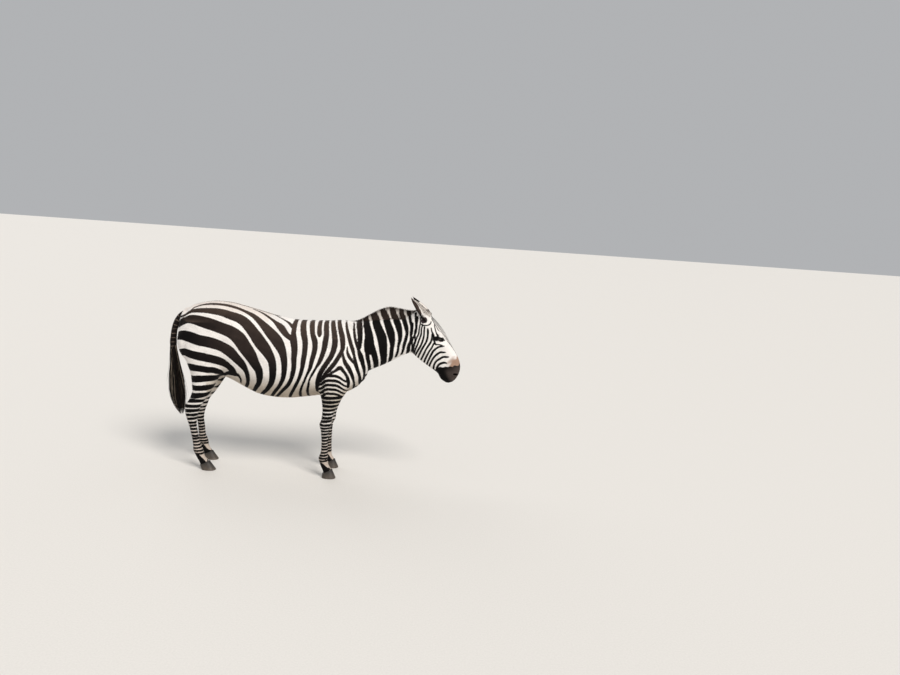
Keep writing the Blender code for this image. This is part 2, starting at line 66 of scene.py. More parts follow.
# The tables of rows, eggs and bands are in millimetres, the others in metres.
# A tube's rows: place along the axis, outline above and below the axis, half width, and how far
# up from the bottom it is widest, in thousandths of its height.
TRUNK_ROWS = (
    (-1068, 1086, 1074, 6, 500), (-1060, 1150, 1015, 55, 500),
    (-1045, 1220, 985, 95, 500), (-985, 1285, 880, 155, 500),
    (-900, 1323, 800, 194, 500), (-780, 1345, 755, 220, 550),
    (-660, 1341, 730, 222, 550), (-540, 1318, 676, 224, 500),
    (-420, 1291, 625, 237, 450), (-300, 1263, 606, 246, 420),
    (-150, 1241, 608, 244, 420), (0, 1244, 632, 228, 430),
    (120, 1248, 652, 205, 450), (240, 1249, 668, 184, 450),
    (330, 1215, 705, 162, 450), (400, 1130, 770, 130, 450),
    (440, 1030, 850, 80, 500), (452, 960, 920, 12, 500),
)
NECK_ROWS = (
    (0, 215, -250, 165, 450), (100, 212, -240, 158, 450),
    (190, 204, -210, 146, 450), (330, 183, -188, 118, 420),
    (410, 170, -172, 106, 400), (490, 155, -152, 96, 400),
    (570, 133, -146, 88, 420), (650, 118, -140, 82, 450),
    (720, 105, -100, 70, 500), (755, 70, -50, 45, 500),
)
HEAD_ROWS = (
    (-30, -10, -130, 40, 600), (0, 30, -185, 66, 650),
    (60, 62, -222, 84, 680), (120, 78, -232, 94, 700),
    (180, 87, -230, 100, 720), (240, 88, -222, 100, 740),
    (300, 86, -205, 86, 740), (360, 86, -178, 69, 720),
    (420, 86, -148, 57, 660), (470, 81, -124, 53, 560),
    (515, 67, -114, 57, 500), (552, 40, -108, 55, 480),
    (578, 6, -96, 46, 480), (590, -22, -76, 30, 500),
    (595, -46, -54, 6, 500),
)
# A limb's rows: height, hind and front edge, and how far its inner and outer side lie from the
# mid-plane.
FORE_ROWS = (
    (1120, 140, 300, 60, 158), (1000, 110, 335, 55, 192),
    (880, 75, 368, 50, 207), (780, 68, 350, 50, 208),
    (710, 80, 305, 52, 205), (650, 100, 268, 60, 200),
    (600, 108, 240, 72, 192), (540, 114, 217, 83, 184),
    (480, 110, 199, 92, 178), (420, 103, 190, 91, 178),
    (370, 111, 178, 100, 170), (300, 119, 175, 108, 162),
    (215, 119, 176, 108, 162), (150, 109, 181, 100, 170),
    (105, 119, 186, 106, 164), (70, 136, 208, 104, 166),
    (30, 150, 214, 104, 166),
)
HIND_ROWS = (
    (1180, -980, -700, 50, 190), (1060, -1040, -690, 30, 218),
    (960, -1028, -680, 22, 228), (860, -968, -684, 20, 226),
    (770, -930, -706, 26, 218), (700, -920, -735, 40, 212),
    (630, -918, -772, 60, 202), (570, -936, -808, 80, 190),
    (510, -966, -846, 96, 178), (460, -968, -860, 96, 176),
    (410, -955, -870, 102, 170), (360, -938, -873, 107, 164),
    (270, -914, -856, 108, 162), (205, -900, -842, 107, 163),
    (150, -890, -816, 100, 170), (105, -872, -804, 106, 164),
    (70, -850, -776, 104, 166), (30, -832, -766, 104, 166),
)


class End(Enum):
    """Which pair of limbs."""
    FORE = "fore"
    HIND = "hind"


class View(Enum):
    """The way in which a band is laid on the form."""
    SIDE = 1
    TOP = 2


# ---------------------------------------------------------------- small mathematics

def smooth(low: float, high: float, value: Array) -> Array:
    """An S-shaped step from 0 at low to 1 at high: 3t^2 - 2t^3."""
    share = np.clip((value - low) / (high - low), 0.0, 1.0)
    return share * share * (3.0 - 2.0 * share)


def blend_min(first: Array, second: Array, reach: float) -> Array:
    """The smaller of two fields, rounded where they are within reach of each other."""
    near = np.maximum(reach - np.abs(first - second), 0.0) / reach
    return np.minimum(first, second) - near * near * reach / 4.0


def metres(rows: tuple) -> Array:
    """A table in millimetres as an array in metres."""
    return np.array(rows, dtype=float) / 1000.0


def through(rows: tuple, count: int) -> Array:
    """A smooth cubic Hermite curve through rows, read at even steps of the first column.

    Args:
        rows: a table in millimetres, its first column rising or falling.
        count: how many rows to return.

    Returns:
        The denser rows, in metres.
    """
    table = metres(rows)
    travel = np.concatenate(([0.0], np.cumsum(np.abs(np.diff(table[:, 0])))))
    return along_curve(table, travel, np.linspace(0.0, travel[-1], count))


def along_curve(table: Array, travel: Array, wanted: Array) -> Array:
    """Read a Hermite curve through table, whose rows stand at travel, at the wanted places.

    Args:
        table: the rows of the curve.
        travel: how far along each row stands.
        wanted: how far along to read.

    Returns:
        One row for each wanted place.
    """
    slopes = np.gradient(table, travel, axis=0)
    index = np.clip(np.searchsorted(travel, wanted, side="right") - 1, 0, len(travel) - 2)
    span = (travel[index + 1] - travel[index])[:, None]
    share = (wanted - travel[index])[:, None] / span
    start, end = table[index], table[index + 1]
    rise, fall = slopes[index] * span, slopes[index + 1] * span
    return ((2 * share**3 - 3 * share**2 + 1) * start + (share**3 - 2 * share**2 + share) * rise
            + (3 * share**2 - 2 * share**3) * end + (share**3 - share**2) * fall)


def unit(vectors: Array) -> Array:
    """Vectors scaled to length one."""
    return vectors / np.maximum(np.linalg.norm(vectors, axis=-1, keepdims=True), 1e-12)


def xyz(x: Array, y: Array, z: Array) -> Array:
    """Places from their three coordinates, which are arrays or numbers."""
    return np.stack(np.broadcast_arrays(x, y, z), axis=-1)


def travelled(rows: Array) -> Array:
    """How far each row lies along the line through the rows' first two columns."""
    return np.concatenate(([0.0], np.cumsum(np.linalg.norm(np.diff(rows[:, :2], axis=0), axis=1))))


def folded(local: Array) -> Array:
    """Local head points with the right side turned over on to the left."""
    return xyz(local[:, 0], np.abs(local[:, 1]), local[:, 2])


def turns(count: int) -> Array:
    """Angles at even steps once round, from 0."""
    return np.linspace(0.0, 2.0 * math.pi, count, endpoint=False)


def waves(points: Array, size: float, seed: int) -> Array:
    """Smooth wandering values from -1 to 1: a sum of sine waves in set random directions.

    Args:
        points: where to read it.
        size: the rough distance between crests, in metres.
        seed: picks the waves.

    Returns:
        One value for each point.
    """
    rng = np.random.default_rng(seed)
    total = np.zeros(len(points))
    for _ in range(5):
        way = unit(rng.normal(size=3)) * 2.0 * math.pi / size * rng.uniform(0.6, 1.4)
        total += np.sin(points @ way + rng.uniform(0.0, 6.28))
    return total / 3.0


# ---------------------------------------------------------------- the form

@dataclass(frozen=True)
class Placement:
    """A local frame whose X axis points pitch degrees below +X, turned by yaw to the right."""
    origin: tuple[float, float, float]
    pitch: float = 0.0
    yaw: float = 0.0

    def axes(self) -> Array:
        """The local axes as columns.

        Returns:
            A matrix of three columns.
        """
        pitch, yaw = math.radians(self.pitch), math.radians(self.yaw)
        tilt = np.array([[math.cos(pitch), 0, math.sin(pitch)], [0, 1, 0],
                         [-math.sin(pitch), 0, math.cos(pitch)]])
        turn = np.array([[math.cos(yaw), math.sin(yaw), 0], [-math.sin(yaw), math.cos(yaw), 0], [0, 0, 1]])
        return turn @ tilt

    def local(self, points: Array) -> Array:
        """World points as (along, side, rise)."""
        return (points - np.array(self.origin)) @ self.axes()

    def world(self, points: Array) -> Array:
        """Local points in the world."""
        return points @ self.axes().T + np.array(self.origin)


HEAD_PLACE = Placement((0.845 - CENTRE_X, 0.0, 1.355), 57.0, 4.0)
NECK_PLACE = Placement((0.20 - CENTRE_X, 0.0, 1.00), -18.0)
TRUNK_PLACE = Placement((-CENTRE_X, 0.0, 0.0))


@dataclass(frozen=True)
class Tube:
    """A body tube: rounded rings that stand across an axis."""
    rows: tuple
    place: Placement
    square: float

    def distance(self, points: Array) -> Array:
        """How far points lie outside the tube, along the ray from its middle.

        The ring at a station is |side/half|^n + |rise/reach|^n = 1, with its own reach above and
        below the widest line. With s the n-th root of that sum, the distance is r - r/s.

        Args:
            points: the places, one in each row.

        Returns:
            The distances, negative inside.
        """
        local = self.place.local(points)
        table = through(self.rows, 300)
        at = np.clip(local[:, 0], table[0, 0], table[-1, 0])
        top, bottom, half, widest = (np.interp(at, table[:, 0], table[:, k]) for k in range(1, 5))
        level = bottom + widest * (top - bottom)
        rise = local[:, 2] - level
        reach = np.where(rise > 0.0, top - level, level - bottom)
        return ring_distance(local[:, 1], rise, half, reach, self.square, local[:, 0] - at)


def ring_distance(side: Array, rise: Array, half: Array, reach: Array, square: float,
                  past: Array) -> Array:
    """Distance outside a squared oval, and past the end of its tube by past.

    Args:
        side: distances to the side of the middle.
        rise: distances above or ahead of it.
        half: the oval's reach to the side.
        reach: its reach the other way.
        square: its power, 2 for an ellipse.
        past: distances past the tube's end.

    Returns:
        The distances, negative inside.
    """
    size = np.maximum(np.abs(side / half) ** square + np.abs(rise / reach) ** square, 1e-9) ** (1.0 / square)
    out = np.hypot(side, rise)
    radial = out - out / size
    return np.where(np.abs(past) > 0.0, np.hypot(np.maximum(radial, 0.0), past), radial)


@dataclass(frozen=True)
class Limb:
    """A leg made of level rings, with the backward swing of its stance."""
    end: End
    side: int
    swing: float
    rows: tuple
    square: float = 2.2

    def name(self) -> str:
        """The limb's name, such as fore_left."""
        return f"{self.end.value}_{'left' if self.side > 0 else 'right'}"

    def shift(self, height: Array) -> Array:
        """How far the leg stands behind its square place at a height."""
        return self.swing * np.maximum(0.0, 1.0 - height / STANCE_TOP) - CENTRE_X

    def ring(self, height: Array) -> tuple[Array, Array, Array, Array]:
        """Middle x and y, half depth and half width of the ring at each height.

        Args:
            height: heights above the ground.

        Returns:
            The four measures, in metres.
        """
        table = through(self.rows, 300)[::-1]
        at = np.clip(height, table[0, 0], table[-1, 0])
        rear, front, inner, outer = (np.interp(at, table[:, 0], table[:, k]) for k in range(1, 5))
        middle = (rear + front) / 2.0 + self.shift(at)
        return middle, self.side * (inner + outer) / 2.0, (front - rear) / 2.0, (outer - inner) / 2.0

    def distance(self, points: Array) -> Array:
        """How far points lie outside the leg's rings.

        Args:
            points: the places, one in each row.

        Returns:
            The distances, negative inside.
        """
        x, y, depth, half = self.ring(points[:, 2])
        past = points[:, 2] - np.clip(points[:, 2], self.rows[-1][0] / 1000.0, self.rows[0][0] / 1000.0)
        return ring_distance(points[:, 1] - y, points[:, 0] - x, half, depth, self.square, past)


@dataclass(frozen=True)
class Egg:
    """A muscle or bone, in millimetres: a soft ellipsoid with a mirror twin unless it is central."""
    centre: tuple[int, int, int]
    radii: tuple[int, int, int]
    amount: int = 0

    def offsets(self, points: Array) -> Array:
        """Points relative to the nearer twin, in radii."""
        return (folded(points) - metres(self.centre)) / metres(self.radii)

    def distance(self, points: Array) -> Array:
        """Distance outside the ellipsoid: k(k - 1) / |p / r^2|, with k the length in radii.

        Args:
            points: the places, one in each row.

        Returns:
            The distances, negative inside.
        """
        away = self.offsets(points)
        length = np.linalg.norm(away, axis=1)
        slope = np.linalg.norm(away / metres(self.radii), axis=1)
        return length * (length - 1.0) / np.maximum(slope, 1e-9)

    def swell(self, points: Array) -> Array:
        """A bell-shaped rise of the surface: amount * exp(-k^2)."""
        return self.amount / 1000.0 * np.exp(-np.sum(self.offsets(points) ** 2, axis=1))


HEAD_EGGS = (  # with the reach of their blend
    (Egg((205, 48, -110), (100, 40, 90)), 0.016),  # cheek
    (Egg((226, 67, 56), (45, 28, 20)), 0.014),  # brow
    (Egg((525, 34, 14), (36, 24, 36)), 0.016),  # wing of the nostril
    (Egg((520, 0, -98), (36, 34, 22)), 0.020),  # chin
)
BODY_SWELLS = (
    Egg((-635, 165, 1262), (55, 50, 45), 12),  # point of the hip
    Egg((-530, 200, 1180), (80, 70, 75), -12),  # hollow of the flank
    Egg((-600, 200, 840), (45, 60, 100), 8),  # fold of the flank
    Egg((-740, 215, 930), (75, 60, 120), 11),  # front of the thigh
    Egg((-880, 215, 1030), (65, 60, 150), 12),  # back of the thigh
    Egg((-815, 230, 930), (18, 50, 130), -6),  # groove between the two
    Egg((-975, 180, 960), (22, 60, 170), -9),  # groove behind the thigh
    Egg((-1040, 70, 1110), (40, 50, 60), 6),  # point of the buttock
    Egg((-1060, 0, 1000), (50, 22, 150), -12),  # cleft under the tail
    Egg((-720, 180, 800), (40, 50, 45), 8),  # stifle
    Egg((255, 165, 1080), (28, 50, 130), 6),  # spine of the shoulder blade
    Egg((325, 150, 1090), (28, 50, 100), -6),
    Egg((75, 210, 960), (32, 50, 150), -9),  # hollow behind the shoulder
    Egg((140, 205, 860), (60, 50, 85), 12),  # upper arm
    Egg((335, 140, 890), (50, 60, 55), 12),  # point of the shoulder
    Egg((245, 205, 800), (28, 40, 70), -6),
    Egg((385, 60, 830), (60, 45, 90), 12),  # breast
    Egg((420, 0, 830), (70, 18, 120), -14),  # cleft of the breast
    Egg((200, 0, 1240), (110, 60, 40), 6),  # withers
    Egg((440, 125, 960), (70, 30, 24), -7),  # groove along the windpipe
    Egg((560, 100, 1020), (70, 30, 22), -6),
    Egg((670, 85, 1085), (60, 30, 22), -5),
    Egg((500, 120, 1110), (120, 30, 45), 4),
    Egg((560, 55, 1215), (140, 25, 25), -4),  # under the crest
    Egg((-100, 0, 640), (300, 60, 50), 4),  # keel of the belly
)
# The same for the limbs, in the place of a leg that stands square.
LIMB_SWELLS = (
    Egg((62, 175, 745), (26, 40, 34), 10),  # elbow
    Egg((165, 195, 610), (34, 30, 90), 6),  # forearm
    Egg((95, 150, 560), (14, 50, 80), -3),
    Egg((172, 135, 425), (18, 34, 30), 5),  # front of the knee
    Egg((88, 135, 437), (14, 20, 24), 7),  # bone behind the knee
    Egg((135, 135, 385), (40, 60, 12), -3),  # narrow under the knee
    Egg((118, 165, 280), (8, 18, 90), -4),  # groove beside the sinew
    Egg((118, 105, 280), (8, 18, 90), -4),
    Egg((98, 135, 160), (18, 24, 22), 6),  # back of the fetlock
    Egg((130, 168, 155), (18, 12, 18), 3),
    Egg((130, 102, 155), (18, 12, 18), 3),
    Egg((-845, 200, 680), (50, 35, 70), 7),  # gaskin
    Egg((-925, 188, 590), (20, 30, 70), -9),  # hollow before the sinew
    Egg((-925, 84, 590), (20, 30, 70), -9),
    Egg((-976, 135, 515), (18, 20, 26), 7),  # point of the hock
    Egg((-885, 135, 480), (18, 40, 34), 4),
    Egg((-925, 178, 465), (20, 14, 30), 4),
    Egg((-918, 167, 320), (8, 18, 100), -4),  # groove beside the sinew
    Egg((-918, 103, 320), (8, 18, 100), -4),
    Egg((-900, 135, 160), (18, 24, 22), 6),  # back of the fetlock
    Egg((-868, 168, 155), (18, 12, 18), 3),
    Egg((-868, 102, 155), (18, 12, 18), 3),
)
HEAD_SWELLS = (
    Egg((173, 64, 66), (20, 18, 20), -6),  # hollow above the eye
    Egg((55, 52, 26), (30, 24, 30), 8),  # root of the ear
    Egg((385, 55, 20), (70, 25, 22), -4),  # side of the nose
    Egg((470, 40, 48), (30, 20, 18), -3),
    Egg((300, 0, -205), (100, 20, 40), -12),  # between the jaw bones
    Egg((305, 80, -130), (16, 30, 60), -5),  # front edge of the cheek
    Egg((95, 80, -120), (30, 30, 80), -7),  # hollow behind the jaw
    Egg((560, 0, 20), (30, 12, 40), -3),  # between the nostrils
    Egg((500, 48, -60), (30, 20, 22), 4),  # upper lip
)
EYE_RADIUS = 0.0205
EYE_CENTRE = np.array((0.240, 0.0775, 0.0385))
EYE_TILT = math.radians(42.0)        # the inner corner lies towards the nose, near the face's front
EYE_LONG, EYE_TALL = 0.0175, 0.0098  # half length and half height of the open eye
SOCKET_FLOOR = 0.0770                # the socket goes in no further than this from the mid-plane
CREST_RISE, MOUTH_DEPTH, NOSTRIL_RIM = 0.0045, 0.0050, 0.0035
NOSTRIL = np.array((0.548, 0.041, 0.004))
CREST = np.array(((0.285, 0.088, -0.022), (0.330, 0.080, -0.030), (0.385, 0.062, -0.036)))
MOUTH = np.array(((0.600, 0.000, -0.060), (0.584, 0.030, -0.064), (0.550, 0.048, -0.072),
                  (0.505, 0.055, -0.083), (0.468, 0.054, -0.092)))


def to_path(points: Array, path: Array) -> Array:
    """Distance from points to a broken line.

    Args:
        points: the places, one in each row.
        path: the line's corners.

    Returns:
        One distance for each point.
    """
    best = np.full(len(points), np.inf)
    for start, end in zip(path, path[1:]):
        way = end - start
        share = np.clip((points - start) @ way / (way @ way), 0.0, 1.0)
        best = np.minimum(best, np.linalg.norm(points - start - share[:, None] * way, axis=1))
    return best


def eye_plane(points: Array) -> tuple[Array, Array]:
    """Local head points as (along, up) in the plane of the open eye.

    Args:
        points: places in the head's frame.

    Returns:
        Along and up from the middle of the eye.
    """
    along, up = points[:, 0] - EYE_CENTRE[0], points[:, 2] - EYE_CENTRE[2]
    return (along * math.cos(EYE_TILT) + up * math.sin(EYE_TILT),
            up * math.cos(EYE_TILT) - along * math.sin(EYE_TILT))


@dataclass(frozen=True)
class Form:
    """The fleshy body as one field that is negative inside and zero on the skin."""
    trunk: Tube = Tube(TRUNK_ROWS, TRUNK_PLACE, 2.15)
    neck: Tube = Tube(NECK_ROWS, NECK_PLACE, 2.1)
    head: Tube = Tube(HEAD_ROWS, HEAD_PLACE, 2.25)
    limbs: tuple[Limb, ...] = (
        Limb(End.FORE, 1, -0.022, FORE_ROWS), Limb(End.FORE, -1, 0.0, FORE_ROWS),
        Limb(End.HIND, 1, -0.065, HIND_ROWS), Limb(End.HIND, -1, 0.0, HIND_ROWS),
    )
    neck_join: float = 0.050        # how far the joints between tubes are rounded
    leg_join: float = 0.040
    head_join: float = 0.030

    def distance(self, points: Array) -> Array:
        """The field at points: a rounded union of tubes, limbs and eggs, with swells and hollows.

        Args:
            points: the places, one in each row.

        Returns:
            The field's value at each point.
        """
        field = self.trunk.distance(points)
        field = blend_min(field, self.neck.distance(points), self.neck_join)
        for limb in self.limbs:
            near = (points[:, 1] * limb.side > -0.06) & (points[:, 2] < 1.25)
            leg = np.full(len(points), 1.0)
            leg[near] = limb.distance(points[near])
            field = blend_min(field, leg, self.leg_join)
        near = points[:, 0] > 0.70
        if near.any():
            field[near] = self.head_distance(points[near], field[near])
        field += COAT_DEPTH + (FACE_DEPTH - COAT_DEPTH) * self.bare(points)
        for egg in BODY_SWELLS:
            field -= egg.swell(points)
        low = points[:, 2] < 0.85
        if low.any():
            field[low] += self.limb_detail(points[low])
        return field

    def bare(self, points: Array) -> Array:
        """1 on the face and feet, where the hair is shortest."""
        face = smooth(0.05, 0.30, self.head.place.local(points)[:, 0]) * (points[:, 0] > 0.7)
        return np.maximum(face, smooth(0.40, 0.15, points[:, 2]))

    def head_distance(self, points: Array, body: Array) -> Array:
        """The field round the head, joined to the body's.

        Args:
            points: places near the head.
            body: the rest of the body's field there.

        Returns:
            The field's value at each point.
        """
        local = HEAD_PLACE.local(points)
        field = self.head.distance(points)
        for egg, reach in HEAD_EGGS:
            field = blend_min(field, egg.distance(local), reach)
        field = blend_min(body, field, self.head_join)
        for egg in HEAD_SWELLS:
            field -= egg.swell(local)
        local = folded(local)
        field -= CREST_RISE * np.exp(-(to_path(local, CREST) / 0.010) ** 2)
        field += MOUTH_DEPTH * np.exp(-(to_path(local, MOUTH) / 0.0036) ** 2)
        along, up = eye_plane(local)
        ring = np.hypot(along * 0.8, up)
        beside = smooth(0.055, 0.075, local[:, 1])
        field += beside * (0.0035 * np.exp(-((ring - 0.030) / 0.008) ** 2)      # hollow round the lids
                           - 0.0030 * np.exp(-(ring / 0.017) ** 2))             # bulge of the eye
        socket = (np.hypot(along / EYE_LONG, up / EYE_TALL) - 1.0) * EYE_TALL
        field = -blend_min(-field, np.maximum(socket, SOCKET_FLOOR - local[:, 1]), 0.003)
        flare = (local - NOSTRIL) @ np.array(((0.80, 0.0, -0.60), (0.0, 1.0, 0.0), (0.60, 0.0, 0.80))).T
        rim = np.linalg.norm(flare / np.array((0.017, 0.026, 0.025)), axis=1)
        field -= NOSTRIL_RIM * np.exp(-((rim - 1.0) / 0.28) ** 2)
        pit = (np.linalg.norm(flare / np.array((0.0095, 0.024, 0.017)), axis=1) - 1.0) * 0.0095
        return -blend_min(-field, pit, 0.004)

    def limb_detail(self, points: Array) -> Array:
        """Swells of the limbs, and the narrowing where the skin enters the hoof.

        Args:
            points: the places, one in each row.

        Returns:
            What to add to the field.
        """
        change = np.zeros(len(points))
        for limb in self.limbs:
            mine = (points[:, 1] * limb.side > 0.0) & ((points[:, 0] > -0.4) == (limb.end is End.FORE))
            if not mine.any():
                continue
            square = points[mine].copy()
            square[:, 0] -= limb.shift(square[:, 2]) + CENTRE_X
            total = np.zeros(len(square))
            for egg in LIMB_SWELLS:
                total -= egg.swell(square)
            hoof = HOOVES[limb.end]
            under = hoof.coronet_height(square[:, 0] + CENTRE_X) - square[:, 2]
            change[mine] = total + 0.006 * smooth(-0.003, 0.005, under)
        return change

    def normals(self, points: Array, reach: float = 0.002) -> Array:
        """Outward directions, from central differences of the field.

        Args:
            points: the places, one in each row.
            reach: how far apart the field is read, in metres.

        Returns:
            The directions, not of length one.
        """
        steps = np.eye(3) * reach
        slopes = [self.distance(points + step) - self.distance(points - step) for step in steps]
        return np.stack(slopes, axis=1) / (2.0 * reach)

    def settle(self, points: Array, rounds: int = 3) -> Array:
        """Move points on to the surface by Newton's steps down the field's slope.

        Args:
            points: places near the surface.
            rounds: how many steps.

        Returns:
            The moved points.
        """
        for _ in range(rounds):
            slope = self.normals(points)
            square = np.maximum(np.sum(slope * slope, axis=1), 0.05)
            step = (self.distance(points) / square)[:, None] * slope
            length = np.linalg.norm(step, axis=1, keepdims=True)
            points = points - step * np.minimum(1.0, GRID_STEP / np.maximum(length, 1e-9))
        return points


@dataclass(frozen=True)
class Hoof:
    """A hoof on its sole: heel and toe on the ground and at the coronet, with heights."""
    heel: float
    toe: float
    coronet_rear: float
    coronet_front: float
    rear_height: float
    front_height: float
    half: float

    def coronet_height(self, x: Array) -> Array:
        """Height of the coronet's sloping plane over x."""
        share = (x - self.coronet_rear) / (self.coronet_front - self.coronet_rear)
        return self.rear_height + share * (self.front_height - self.rear_height)


HOOVES = {
    End.FORE: Hoof(0.136, 0.248, 0.139, 0.214, 0.036, 0.074, 0.046),
    End.HIND: Hoof(-0.824, -0.712, -0.842, -0.766, 0.036, 0.074, 0.044),
}


# ---------------------------------------------------------------- meshes

def make_object(name: str, verts: Array, faces: list, smooth_shade: bool = True) -> Thing:
    """Put a mesh into the scene, at the origin, under its name.

    Args:
        name: the object's name.
        verts: corner places.
        faces: lists of corner numbers.
        smooth_shade: whether it is shaded as a curve.

    Returns:
        The new object.
    """
    mesh = bpy.data.meshes.new(name)
    mesh.from_pydata(np.asarray(verts).tolist(), [], faces)
    mesh.update()
    if smooth_shade:
        mesh.shade_smooth()
    thing = bpy.data.objects.new(name, mesh)
    bpy.context.scene.collection.objects.link(thing)
    return thing


def sheet_faces(rows: int, columns: int) -> Array:
    """Quads of a grid of rows by columns whose last column joins the first.

    Args:
        rows: how many rows.
        columns: how many columns.

    Returns:
        Four corner numbers for each face.
    """
    index = np.arange(rows * columns).reshape(rows, columns)
    right = np.roll(index, -1, axis=1)
    return np.stack([index[:-1], right[:-1], right[1:], index[1:]], axis=-1).reshape(-1, 4)


def barrel_faces(rows: int, columns: int, turned: bool = False) -> list:
    """Faces of such a grid with a lid on both ends, turned over when it is a mirror image.

    Args:
        rows: how many rows.
        columns: how many columns.
        turned: whether it is a mirror image.

    Returns:
        Lists of corner numbers.
    """
    lids = [list(range(columns))[::-1], list(range((rows - 1) * columns, rows * columns))]
    faces = sheet_faces(rows, columns).tolist() + lids
    return [face[::-1] for face in faces] if turned else faces


def read_numbers(data: object, name: str, size: int, kind: type) -> Array:
    """A mesh collection's numbers, size in each row.

    Args:
        data: the mesh collection.
        name: its property to read.
        size: how many numbers belong in a row.
        kind: their type in the mesh.

    Returns:
        The rows.
    """
    flat = np.empty(len(data) * size, dtype=kind)
    data.foreach_get(name, flat)
    return flat.reshape(-1, size).astype(float if kind is np.float32 else kind)


def set_attribute(mesh: bpy.types.Mesh, name: str, values: Array) -> None:
    """Store one number or one colour for each vertex.

    Args:
        mesh: the mesh.
        name: the attribute's name.
        values: a number or a colour for each corner.
    """
    if values.ndim == 1:
        layer = mesh.attributes.new(name, "FLOAT", "POINT")
        layer.data.foreach_set("value", values.astype(np.float32))
    else:
        layer = mesh.attributes.new(name, "FLOAT_COLOR", "POINT")
        alpha = np.ones((len(values), 1))
        layer.data.foreach_set("color", np.hstack([values, alpha]).astype(np.float32).ravel())


def surface_net(field: Array, low: Array, step: float) -> tuple[Array, Array]:
    """Quads round the zero level of a field on a grid, one corner for each cell that it crosses.

    Each corner is the mean of the places where the cell's edges cross zero. Each grid edge that
    crosses zero gives the quad of its four cells, turned to face outwards.

    Args:
        field: its value at the points of the grid.
        low: the grid's first point.
        step: its spacing.

    Returns:
        The corners, and four corner numbers for each quad.
    """
    inside = field < 0.0
    shape = np.array(field.shape) - 1
    corners = [(i, j, k) for i in (0, 1) for j in (0, 1) for k in (0, 1)]

    def shifted(corner: tuple[int, int, int]) -> Array:
        """Which cells have that corner inside, as 0 or 1."""
        return inside[tuple(slice(k, k + size) for k, size in zip(corner, shape))].astype(np.int8)

    filled = sum(shifted(corner) for corner in corners)
    cells = np.argwhere((filled > 0) & (filled < 8))
    number = np.full(shape, -1)
    number[tuple(cells.T)] = np.arange(len(cells))
    total, hits = np.zeros((len(cells), 3)), np.zeros(len(cells))
    for corner in corners:
        for axis in range(3):
            if corner[axis]:
                continue
            start = cells + np.array(corner)
            end = start.copy()
            end[:, axis] += 1
            a, b = field[tuple(start.T)], field[tuple(end.T)]
            cross = (a < 0.0) != (b < 0.0)
            place = start[cross].astype(float)
            place[:, axis] += a[cross] / (a[cross] - b[cross])
            total[cross] += place
            hits[cross] += 1
    quads = []
    for axis in range(3):
        other, third = (axis + 1) % 3, (axis + 2) % 3
        ahead = np.moveaxis(inside, (axis, other, third), (0, 1, 2))
        first, second = ahead[:-1, 1:-1, 1:-1], ahead[1:, 1:-1, 1:-1]
        where = np.argwhere(first != second)
        out = first[tuple(where.T)]
        base = where + np.array((0, 1, 1))
        ring = []
        for shift_other, shift_third in ((-1, -1), (0, -1), (0, 0), (-1, 0)):
            spot = base + np.array((0, shift_other, shift_third))
            cell = np.empty_like(spot)
            cell[:, axis], cell[:, other], cell[:, third] = spot.T
            ring.append(number[tuple(cell.T)])
        quad = np.stack(ring, axis=1)
        quad[~out] = quad[~out, ::-1]
        quads.append(quad)
    return low + step * total / hits[:, None], np.concatenate(quads)


# ---------------------------------------------------------------- finishes

PALE_HAIR, DARK_HAIR = "#f4f0ec", "#0d0a0a"


def linear(colour: str) -> tuple[float, float, float]:
    """An sRGB hex colour, such as #8a6b52, as linear light."""
    parts = [int(colour[k:k + 2], 16) / 255.0 for k in (1, 3, 5)]
    return tuple(part / 12.92 if part <= 0.04045 else ((part + 0.055) / 1.055) ** 2.4 for part in parts)


def shade(colour: str) -> Array:
    """The linear colour as an array."""
    return np.array(linear(colour))


def adjust(node: bpy.types.Node, settings: dict) -> None:
    """Set a node's properties, or its inputs by name or number.

    Args:
        node: the node.
        settings: values by property, or by input name or number.
    """
    for key, value in settings.items():
        if isinstance(key, str) and hasattr(node, key):
            setattr(node, key, value)
        else:
            node.inputs[key].default_value = value


def add_node(tree: Tree, kind: str, settings: dict | None = None,
             links: dict | None = None) -> bpy.types.Node:
    """Add a shader node with its settings and links.

    Args:
        tree: the material's nodes.
        kind: the node's type name.
        settings: what to set on it.
        links: output sockets to join to its inputs, by name or number.

    Returns:
        The node.
    """
    node = tree.nodes.new(kind)
    adjust(node, settings or {})
    for key, socket in (links or {}).items():
        tree.links.new(socket, node.inputs[key])
    return node


def start_material(name: str) -> tuple[Material, Tree, bpy.types.Node]:
    """A new material with its nodes and its Principled shader.

    Args:
        name: the material's name.

    Returns:
        The material, its nodes and its shader.
    """
    material = bpy.data.materials.new(name)
    material.use_nodes = True
    return material, material.node_tree, material.node_tree.nodes["Principled BSDF"]


